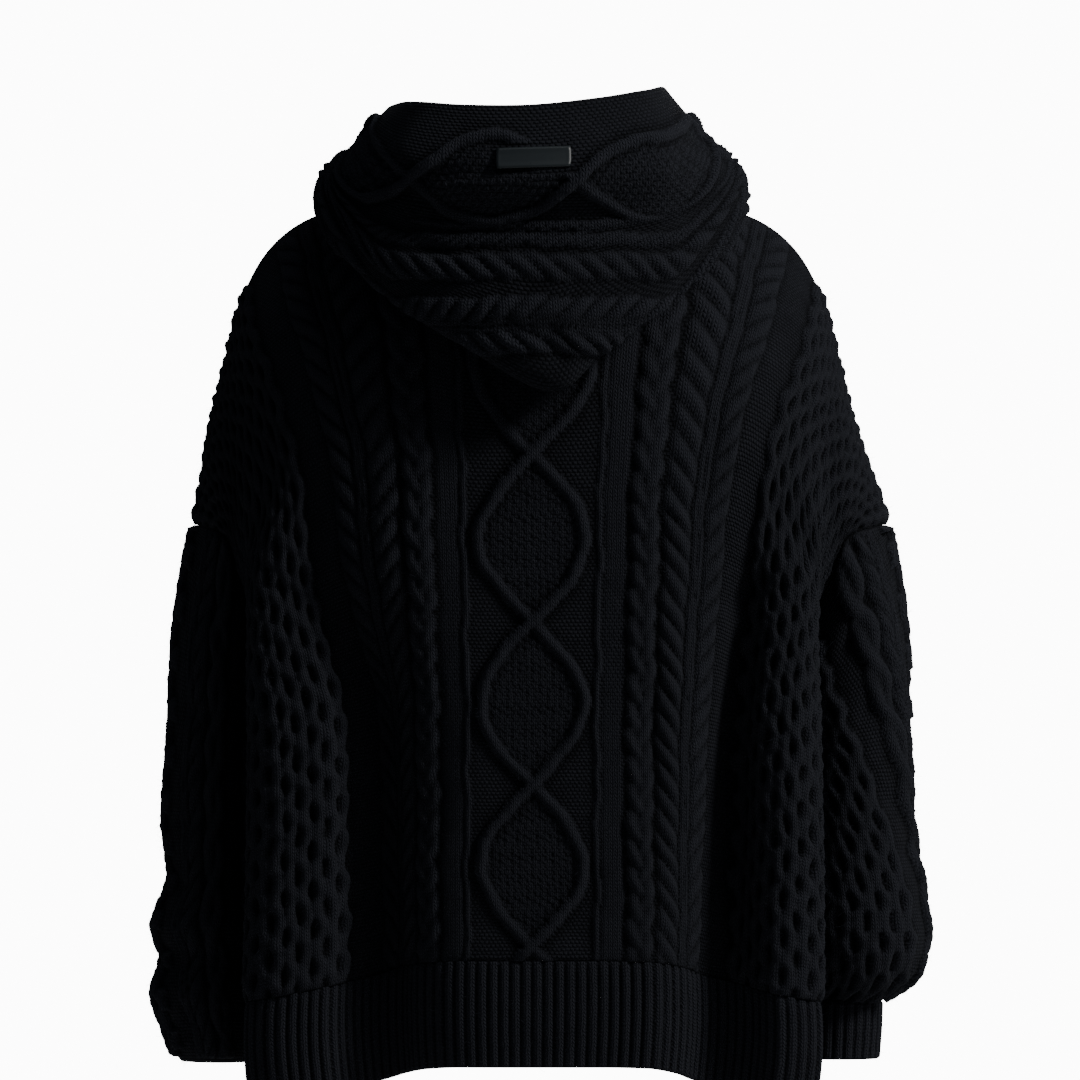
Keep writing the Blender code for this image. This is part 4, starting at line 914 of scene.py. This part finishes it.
def tube(table, turns, levels, side, head):
    """Rings of a sleeve or cuff; head says that the armhole is its first ring."""
    rings = [section(row, turns, side) for row in table]
    if head:
        rings = [hole_ring(turns / OCTANT, side)] + rings
    return flow(np.arange(len(rings)), np.array(rings), levels)


def tube_normals(table, turns, levels, side, head):
    """Outward directions over a sleeve or cuff."""
    tiny = 0.01
    last = len(table) - (0 if head else 1)
    ahead = tube(table, turns + tiny, levels, side, head) - tube(table, turns - tiny, levels, side, head)
    low = tube(table, turns, np.minimum(levels + tiny, last), side, head)
    high = tube(table, turns, np.maximum(levels - tiny, 0), side, head)
    normals = unit(np.cross(low - high, ahead)) * -side
    first = ring_normal(turns) * np.array([side, 1, 1]) if head else section_out(table[0], turns, side)
    near = step(1 - (levels - levels[0]) / 0.9)
    normals = toward(normals, np.repeat(first[None], len(levels), 0), np.repeat(near[:, None], len(turns), 1))
    if head:
        final = section_out(table[-1], turns, side)
        near = step(1 - (levels[-1] - levels) / 0.4)
        weight = np.repeat(near[:, None], len(turns), 1)
        normals = toward(normals, np.repeat(final[None], len(levels), 0), weight)
    return normals


SLEEVE_ROUND = 0.058     # mean radius of a sleeve
ROPE_TURN = 0.046        # one crossing of the bold rope to the next
# turn of the bold rope from the outside round the back, in degrees, level by level from the armhole
ROPE_RIGHT = [95, 83, 71, 46, 8, 0, -3, -5, -5, -5]
ROPE_LEFT = [88, 86, 84, 84, 84, 84, 86, 90, 95, 100, 100, 100, 100, 100, 100, 100]


def rope(u, v, swing=0.0072, half=0.0076):
    """Two thick strands that cross over and over."""
    turn = math.pi * v / ROPE_TURN
    square = 1 / np.sqrt(1 + (swing * math.pi / ROPE_TURN * np.cos(turn)) ** 2)
    over = 0.0015 * np.cos(turn)
    one = ridge((u - swing * np.sin(turn)) * square, half) * (1.25 * CABLE + over)
    two = ridge((u + swing * np.sin(turn)) * square, half) * (1.25 * CABLE - over)
    return np.maximum(one, two)


def sleeve_cables(turns, levels, length, rope_turns):
    """Height of a sleeve's cables; length is metres down the sleeve for each level."""
    centre = np.radians(np.interp(levels, np.arange(len(rope_turns)), rope_turns))
    turn = turns[None] - centre[:, None]
    u = (np.mod(turn + 1.0, 2 * math.pi) - 1.0) * SLEEVE_ROUND
    v = -np.repeat(length[:, None], len(turns), 1)
    u = u + waver(u, v)
    height = np.maximum(rope(u, v), twin_rib(u, -0.038))
    height = np.maximum(height, leaves(u, v, -0.0240, -1, 0.0080))
    return np.maximum(height, honeycomb(u, v, 0.0480, 0.300)) * unevenness(u, v)


def run_down(points):
    """Metres down a tube for each of its rings."""
    steps = np.linalg.norm(np.diff(points, axis=0), axis=-1).mean(1)
    return np.concatenate([[0], np.cumsum(steps)])


# across is metres round from the outside, down is a share of the way to the cuff
SLEEVE_CREASES = [(0.060, 0.10, 0.05, 0.10, 0.010, 0.0040), (0.030, 0.30, 0.07, 0.06, 0.010, 0.0035),
                  (-0.080, 0.36, 0.06, 0.05, 0.011, 0.0040), (0.090, 0.48, -0.06, 0.07, 0.010, 0.0035),
                  (0.000, 0.62, 0.06, 0.04, 0.009, 0.0030), (-0.090, 0.70, 0.05, 0.04, 0.010, 0.0035),
                  (0.020, 0.86, 0.01, 0.11, 0.007, 0.0030), (0.060, 0.87, -0.01, 0.10, 0.007, 0.0030),
                  (-0.040, 0.88, 0.01, 0.10, 0.007, 0.0030), (0.110, 0.88, 0.00, 0.10, 0.007, 0.0028)]


def knit_sleeve(name, table, side, rope_turns, rings, columns, shown):
    """A sleeve's wall; shown is the level where the cloth turns up out of sight, or its last level."""
    last = len(table)
    levels = np.linspace(0.005, last - 0.006, rings)
    turns = 2 * math.pi * np.arange(columns) / columns
    points = tube(table, turns, levels, side, True)
    length = run_down(points)
    relief = sleeve_cables(turns, levels, length, rope_turns)
    ends = step((levels + 0.01) / 0.16) * step((shown - levels) / 0.4)
    relief = relief * ends[:, None]
    round_at = (np.mod(turns + math.pi, 2 * math.pi) - math.pi) * SLEEVE_ROUND
    whole = np.interp(shown, levels, length)
    grid_across = np.repeat(round_at[None], rings, 0)
    grid_down = np.repeat((length / whole)[:, None], columns, 1)
    fold = creases(grid_across, grid_down, SLEEVE_CREASES, whole) * ends[:, None]
    outer = points + tube_normals(table, turns, levels, side, True) * (WALL / 2 + relief - fold)[..., None]
    few_levels = levels[::2] if rings % 2 else levels
    few = turns[::3]
    few_fold = fold[::2, ::3] if rings % 2 else fold[:, ::3]
    inner = tube(table, few, few_levels, side, True)
    inner = inner - tube_normals(table, few, few_levels, side, True) * (WALL / 2 + few_fold)[..., None]
    around = SLEEVE_ROUND / STITCH_WIDE
    at = (levels, turns, -length / STITCH_TALL, turns * around)
    few_length = length[::2] if rings % 2 else length
    inner_at = (few_levels, few, -few_length / STITCH_TALL, few * around)
    return shell(name, outer, at, inner, inner_at, 2 * math.pi, relief, WOOL)


sleeve_right = knit_sleeve("knit_sleeve_right", SLEEVE_RIGHT, 1, ROPE_RIGHT, rings=171, columns=162,
                           shown=len(SLEEVE_RIGHT))
hang(sleeve_right, "sleeve_right", seed=13)
sleeve_left = knit_sleeve("knit_sleeve_left", SLEEVE_LEFT, -1, ROPE_LEFT, rings=211, columns=162, shown=10.4)
hang(sleeve_left, "sleeve_left", seed=14)


# ---- cuffs ----
# Ribbed tubes knitted onto the sleeve ends; the left one is hidden in its sleeve's puff.
CUFF_RIGHT = [(-65.9, 0, 26.6, 4.7, 3.45, 4.4), (-68.5, 0, 26.5, 4.7, 3.45, 4.4),
              (-71.1, 0, 26.4, 4.7, 3.35, 4.3)]
CUFF_LEFT = [(-66.5, 0, 27.7, 4.7, 2.5, 4.0), (-68.5, 0, 27.7, 4.7, 2.55, 4.1),
             (-71.0, 0, 27.7, 4.7, 2.5, 4.0)]

RIB_WIDE = 0.0094        # one rib and its groove
RIB_OUT = 0.0026         # how far a rib stands out


def rib_profile(turn):
    """Height of ribbing where turn counts ribs: a round rib and a narrow groove."""
    return RIB_OUT * ridge(np.mod(turn, 1) - 0.5, 0.41)


def knit_cuff(name, table, side, ribs):
    """A cuff's wall: ribs outside, plain inside."""
    levels = np.linspace(0.01, 2.0, 27)
    columns = ribs * 9
    turns = 2 * math.pi * np.arange(columns) / columns
    points = tube(table, turns, levels, side, False)
    length = run_down(points)
    ends = step((levels - 0.02) / 0.15) * step((2.03 - levels) / 0.12)
    relief = rib_profile(turns / (2 * math.pi) * ribs)[None] * ends[:, None]
    out = tube_normals(table, turns, levels, side, False)
    outer = points + out * (WALL / 2 + relief)[..., None]
    few, few_levels = turns[::3], levels[::2]
    inner = tube(table, few, few_levels, side, False)
    inner = inner - tube_normals(table, few, few_levels, side, False) * (WALL / 2)
    stitches = 2 * ribs / (2 * math.pi)
    at = (levels, turns, -length / STITCH_TALL, turns * stitches)
    inner_at = (few_levels, few, -length[::2] / STITCH_TALL, few * stitches)
    return shell(name, outer, at, inner, inner_at, 2 * math.pi, relief, WOOL)


cuff_right = knit_cuff("knit_cuff_right", CUFF_RIGHT, 1, ribs=26)
hang(cuff_right, "cuff_right", seed=15)
cuff_left = knit_cuff("knit_cuff_left", CUFF_LEFT, -1, ribs=22)
hang(cuff_left, "cuff_left", seed=16)


# ---- hem rib ----
# One deep ribbed band of the same wool, knitted onto the lower edge of the body all round.
HEM_DEPTH = 0.091        # hem rib, top to bottom
LAP = 4 * SIDE_AT        # once round the body, along the panels' edges


def body_ring(place):
    """The line under the panels, closed, and its outward directions; place starts centre back, by the right."""
    place = np.mod(np.asarray(place, float), LAP)
    across = np.select([place <= SIDE_AT, place <= 3 * SIDE_AT], [place, 2 * SIDE_AT - place], place - LAP)
    back = (place <= SIDE_AT) | (place > 3 * SIDE_AT)
    points = np.where(back[:, None], through(ACROSS, BACK[-1], across), through(ACROSS, FRONT[-1], across))
    normals = np.where(back[:, None], rim_out(BACK[-1], across, True), rim_out(FRONT[-1], across, False))
    return points, normals


def hem_sheet(place, shares, lift):
    """The rib's sheet at shares of its depth, each row moved outward by its lift."""
    points, normals = body_ring(place)
    rows = []
    for share, push in zip(shares, lift):
        pull = 1 - 0.02 * share ** 2 + 0.01 * math.sin(math.pi * share)
        drop = np.array([0, 0, HEM_DEPTH * share + SEAM_GAP * 0.4])
        rows.append(points * np.array([pull, pull, 1]) - drop + normals * push[:, None])
    return np.array(rows)


def knit_hem():
    """The hem rib's wall and its length round the body."""
    columns = 1224
    place = LAP * np.arange(columns) / columns
    shares = np.concatenate([[0, 0.015], np.linspace(0.04, 0.97, 22), [0.985, 1.0]])
    line = body_ring(place)[0]
    arc = run_down(np.concatenate([line, line[:1]])[:, None])
    ribs = round(arc[-1] / RIB_WIDE)
    turn = arc[:-1] / arc[-1] * ribs
    ends = (0.6 + 0.4 * step(shares / 0.06)) * step((1.012 - shares) / 0.03)
    relief = rib_profile(turn)[None] * ends[:, None]
    outer = hem_sheet(place, shares, WALL / 2 + relief)
    few = place[::3]
    few_shares = shares[::5]
    inner = hem_sheet(few, few_shares, np.full((len(few_shares), len(few)), -WALL / 2))
    stitches = turn * 2
    at = (shares, place, -shares * HEM_DEPTH / STITCH_TALL, stitches)
    inner_at = (few_shares, few, -few_shares * HEM_DEPTH / STITCH_TALL, stitches[::3])
    return shell("knit_hem_rib", outer, at, inner, inner_at, LAP, relief, WOOL), arc[-1]


hem, hem_round = knit_hem()
hang(hem, "hem_rib", seed=17)


# ---- hood ----
# One heavy knitted rectangle folded at a crown seam that ends in the tip, sewn round the neck and lying down on
# the back: it hangs from the neck, folds up at the tip, and its rim stands up behind the neck.
HOOD_WALL = 0.0034       # the hood's fabric is a little heavier
# a section for each place from the centre back to the centre front: (x, y, z) in centimetres, down from the
# neck seam, under the tip and up again to the rim
HOOD = [
    [(0, -9.4, 4.9), (0, -12.4, 1.6), (0, -14.6, -5.0), (1.2, -15.8, -12.5), (1.5, -18.0, -12.5),
     (0.6, -18.8, -6.4), (0, -18.0, 0.9), (0, -20.0, 5.0), (0, -17.8, 10.9)],
    [(5.0, -8.6, 5.2), (5.6, -11.8, 2.0), (5.6, -13.9, -4.0), (5.8, -15.0, -8.8), (6.0, -17.2, -8.9),
     (6.0, -18.0, -4.6), (6.0, -17.4, 1.0), (6.2, -19.3, 5.2), (5.6, -17.1, 10.9)],
    [(8.8, -5.8, 6.0), (10.2, -8.6, 3.4), (11.0, -11.2, -1.2), (11.6, -13.2, -5.2), (12.2, -15.0, -5.0),
     (12.4, -15.6, -1.6), (12.0, -15.2, 2.2), (11.8, -16.6, 6.2), (9.6, -14.7, 11.6)],
    [(10.3, -1.0, 7.0), (12.3, -3.4, 5.0), (14.4, -6.2, 2.0), (16.1, -8.8, -0.4), (17.4, -10.2, 0.2),
     (17.4, -10.6, 2.4), (16.4, -10.3, 4.8), (14.4, -9.7, 8.2), (11.3, -8.6, 11.9)],
    [(9.9, 2.0, 6.4), (12.2, 0.6, 5.4), (14.6, -0.8, 4.2), (16.3, -2.0, 3.6), (17.5, -2.9, 4.5),
     (17.2, -3.2, 6.0), (15.9, -3.2, 7.6), (14.0, -2.8, 9.2), (12.0, -2.0, 10.6)],
    [(7.9, 5.4, 3.2), (9.4, 5.6, 3.2), (11.0, 5.4, 2.9), (12.4, 5.1, 3.1), (13.5, 4.6, 4.2),
     (13.3, 4.1, 5.6), (12.6, 3.8, 6.7), (11.6, 3.6, 7.7), (10.4, 3.5, 8.5)],
    [(4.6, 8.0, -0.9), (5.5, 8.8, -0.8), (6.4, 9.3, -0.6), (7.4, 9.5, 0.0), (8.1, 9.2, 1.1),
     (8.1, 8.8, 2.2), (7.7, 8.4, 3.1), (7.1, 8.1, 3.9), (6.4, 7.8, 4.6)],
    [(0.5, 8.6, -3.6), (1.2, 9.5, -3.4), (2.0, 10.1, -2.9), (2.8, 10.4, -2.1), (3.3, 10.2, -1.2),
     (3.5, 9.9, -0.4), (3.5, 9.5, 0.3), (3.4, 9.2, 0.9), (3.2, 8.9, 1.5)],
]

HOOD_ROUND = np.arange(-7, 8)
HOOD_DOWN = np.arange(0, 10)
FRONT_END = 7 - 0.003    # its ends stop just short of the centre front


def neck_line(place):
    """The neck seam and its outward directions; place 0 centre back, 3 shoulder seams, 7 centre front."""
    far = np.abs(place)
    sign = np.where(place < 0, -1, 1)
    across = NECK_AT * np.where(far <= 3, far / 3, (7 - far) / 4)
    back = through(ACROSS, BACK[0], sign * across)
    front = through(ACROSS, FRONT[0], sign * across)
    points = np.where((far <= 3)[:, None], back, front)
    return points, neck_out(points, across)


def hood_table():
    """The hood's net of points, seam first, with what differs between its sides."""
    right = np.array(HOOD) / 100
    left = right.copy()
    left[..., 0] *= -1
    left[0, :, 0] *= -1
    whole = np.concatenate([left[:0:-1], right])
    whole[8:11, 8, 2] += 0.006     # the rim stands higher on the right
    whole[8:10, 7, 2] += 0.003
    whole[8, 3:5, 2] -= 0.008
    whole[4:6, 8, 2] -= (0.007, 0.004)
    whole[3, 6:9, 0] += (0.010, 0.004, -0.004)     # its left side is flatter
    seam = neck_line(HOOD_ROUND.astype(float))[0] + np.array([0, 0, SEAM_GAP * 2])
    return np.concatenate([seam[:, None], whole], 1)


HOOD_NET = hood_table()


def hood_sheet(around, down):
    """Hood points for a row of places round the neck and a list of places down the section."""
    lines = flow(HOOD_ROUND, HOOD_NET, around)
    lines[:, 0] = neck_line(around)[0] + np.array([0, 0, SEAM_GAP * 2])
    return flow(HOOD_DOWN, np.swapaxes(lines, 0, 1), down)


def hood_normals(around, down):
    """Outward directions over the hood."""
    tiny = 0.01
    right = hood_sheet(np.minimum(around + tiny, 7), down) - hood_sheet(np.maximum(around - tiny, -7), down)
    low = hood_sheet(around, np.minimum(down + tiny, 9)) - hood_sheet(around, np.maximum(down - tiny, 0))
    normals = unit(np.cross(right, low))
    rim = np.repeat(neck_line(around)[1][None], len(down), 0)
    near = np.repeat(step(1 - down / 0.4)[:, None], len(around), 1)
    return toward(normals, rim, near)


# heights of the hood's middle line at its section places 4 to 9, used to lay its cables level across the back
HOOD_LEVELS = [-0.116, -0.116, -0.062, 0.009, 0.050, 0.111]
PATCH_PLACE = (0.0015, 0.0632)       # centre, across and up
PATCH_SIZE = (0.064, 0.0175)


def hood_cables(points, around, down):
    """Height of the hood's cables, which run across it: ropes, leaves by the crown seam, diamonds above."""
    far = np.repeat(np.abs(around)[None], len(down), 0)
    d = np.repeat(down[:, None], len(around), 1)
    steps = np.linalg.norm(np.diff(points, axis=1), axis=-1)
    along = np.concatenate([np.zeros((len(down), 1)), np.cumsum(steps, 1)], 1)
    along -= along[:, along.shape[1] // 2][:, None]
    level = np.interp(d, np.arange(4, 10), HOOD_LEVELS)
    up = points[..., 2] + (level - points[..., 2]) * step((far - 1.7) / 1.5)
    up = up + waver(up, along)
    low = step((d - 4.5) / 0.5) * step((7.0 - d) / 0.15)
    ropes = leaves(up, along, -0.0290, 1, 0.0115)
    ropes = np.maximum(ropes, 0.7 * leaves(up, along, -0.0060, -1, 0.0062, 0.0120))
    crown = np.maximum(leaves(up, along, -0.0650, -1, 0.0105), twin_rib(up, -0.0790))
    crown = np.maximum(crown, leaves(up, along, -0.0930, 1, 0.0105))
    side = along + (points[..., 0] - along) * step((3.6 - far) / 0.8)
    lattice = diamonds(up - 0.0455, side - 0.037 + FIRST_CROSS, 0.0360) * step((4.2 - far) / 0.8)
    high = step((d - 6.8) / 0.15) * step((0.092 - up) / 0.006)
    lattice = np.maximum(lattice, 0.7 * leaves(up, along, 0.0065, 1, 0.0050, 0.0140))
    height = np.maximum(low * np.maximum(ropes, crown), high * lattice)
    x = (points[..., 0] - PATCH_PLACE[0]) / (PATCH_SIZE[0] / 2 + 0.003)
    z = (points[..., 2] - PATCH_PLACE[1]) / (PATCH_SIZE[1] / 2 + 0.003)
    clear = step((np.maximum(np.abs(x), np.abs(z)) - 1.0) / 0.12)
    clear = np.where((d > 7.5) & (far < 2), clear, 1)
    sides = step((FRONT_END - far) / 0.15)
    return height * clear * sides * step((8.97 - d) / 0.1) * unevenness(along, up)


# across is metres from the middle, down is counted in section places from the neck seam
HOOD_CREASES = [(0.020, 8.30, -0.130, -0.55, 0.010, 0.0045), (-0.152, 8.05, 0.070, -0.50, 0.011, 0.0065),
                (-0.165, 7.62, 0.095, -0.42, 0.010, 0.0055), (0.110, 7.85, 0.070, 0.35, 0.010, 0.0030),
                (-0.030, 5.60, 0.060, 0.10, 0.007, 0.0030), (0.035, 5.30, -0.030, 0.45, 0.008, 0.0035),
                (-0.060, 6.30, -0.080, 0.45, 0.010, 0.0030), (0.075, 6.60, 0.090, 0.30, 0.010, 0.0028)]


def knit_hood():
    """The hood's wall: cables outside, plain inside."""
    around = np.linspace(-FRONT_END, FRONT_END, 371)
    down = np.concatenate([np.linspace(0, 4, 40)[:-1], np.linspace(4, 9, 116)])
    points = hood_sheet(around, down)
    normals = hood_normals(around, down)
    relief = hood_cables(points, around, down)
    fold = creases(points[..., 0], np.repeat(down[:, None], len(around), 1), HOOD_CREASES, 0.06)
    fold = fold * step((down - 4.6) / 0.4)[:, None]
    outer = points + normals * (HOOD_WALL / 2 + relief - fold)[..., None]
    inner = (points - normals * (HOOD_WALL / 2 + fold)[..., None])[::2, ::3]
    inner = np.concatenate([inner[:, :-1], (points - normals * (HOOD_WALL / 2))[::2, -1:]], 1)
    few_around, few_down = np.append(around[::3][:-1], around[-1]), down[::2]
    if few_down[-1] < down[-1]:
        inner = np.concatenate([inner, (points - normals * (HOOD_WALL / 2))[-1:, ::3]])
        few_down = np.append(few_down, down[-1])
    run = run_down(points[:, 150:220])
    wide = 0.045 / STITCH_WIDE
    at = (down, around, -run / STITCH_TALL, around * wide)
    inner_at = (few_down, few_around, -np.interp(few_down, down, run) / STITCH_TALL, few_around * wide)
    return shell("knit_hood", outer, at, inner, inner_at, 0, relief, WOOL)


hood = knit_hood()
hang(hood, "hood", seed=18)


# ---- label patch ----
# A small flat rubbery patch stuck to the hood below the rim, with a fine raised border; it carries no text.
PATCH_THICK = 0.0010
PATCH_TILT = 0.03        # its right end stands a little higher
PATCH_CLEAR = 0.0003     # left between it and the hood
PATCH_BORDER = 0.0004    # how far its border stands up
RUBBER = plain_material("patch_rubber", (0.016, 0.021, 0.024, 1), 0.42, 0.35)


def patch_fit(s, t, y):
    """A smooth face through the hood's points under the patch: second order across, first order up."""
    terms = np.stack([np.ones_like(s), t, s, s * t, s * s, s * s * t], -1).reshape(-1, 6)
    found = np.linalg.lstsq(terms, y.ravel(), rcond=None)[0]
    return np.array([[found[0], found[1]], [found[2], found[3]], [found[4], found[5]]])


def label_patch():
    """The patch: a flat face through the hood's points under it, moved out."""
    across, up = 25, 9
    s = np.linspace(-1, 1, across)
    t = np.linspace(-1, 1, up)
    # rounded corners: the ends of the outer rows draw in
    draw = 1 - 0.030 * step((np.abs(t) - 0.6) / 0.4)
    s_grid = s[None] * draw[:, None]
    t_grid = np.repeat(t[:, None], across, 1)
    around = np.linspace(-1.2, 1.2, 97)
    down = np.linspace(8.0, 8.8, 65)
    surface = hood_sheet(around, down)
    outward = hood_normals(around, down)
    x = PATCH_PLACE[0] + s_grid * PATCH_SIZE[0] / 2
    z = PATCH_PLACE[1] + t_grid * PATCH_SIZE[1] / 2 + PATCH_TILT * s_grid * PATCH_SIZE[0] / 2
    points, normals = np.empty(x.shape + (3,)), np.empty(x.shape + (3,))
    for k in np.ndindex(x.shape):
        near = np.argmin((surface[..., 0] - x[k]) ** 2 + (surface[..., 2] - z[k]) ** 2)
        i, j = np.unravel_index(near, surface.shape[:2])
        points[k] = (x[k], surface[i, j, 1], z[k])
        normals[k] = outward[i, j]
    fitted = patch_fit(s_grid, t_grid, points[..., 1])
    points[..., 1] = np.polynomial.polynomial.polyval2d(s_grid, t_grid, fitted)
    out = unit(normals.mean((0, 1)))
    border = PATCH_BORDER * ((np.abs(t_grid) > 0.7) | (np.abs(s_grid) > 0.92))
    low = HOOD_WALL / 2 + PATCH_CLEAR
    top = points + out * (low + PATCH_THICK + border)[..., None]
    under = points + out * low
    at = (t, s, t * 4, s * 14)
    return shell("blank_label_patch", top, at, under, at, 0, 0 * x, RUBBER)


patch = label_patch()
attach(patch, "root")
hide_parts("label_patch")
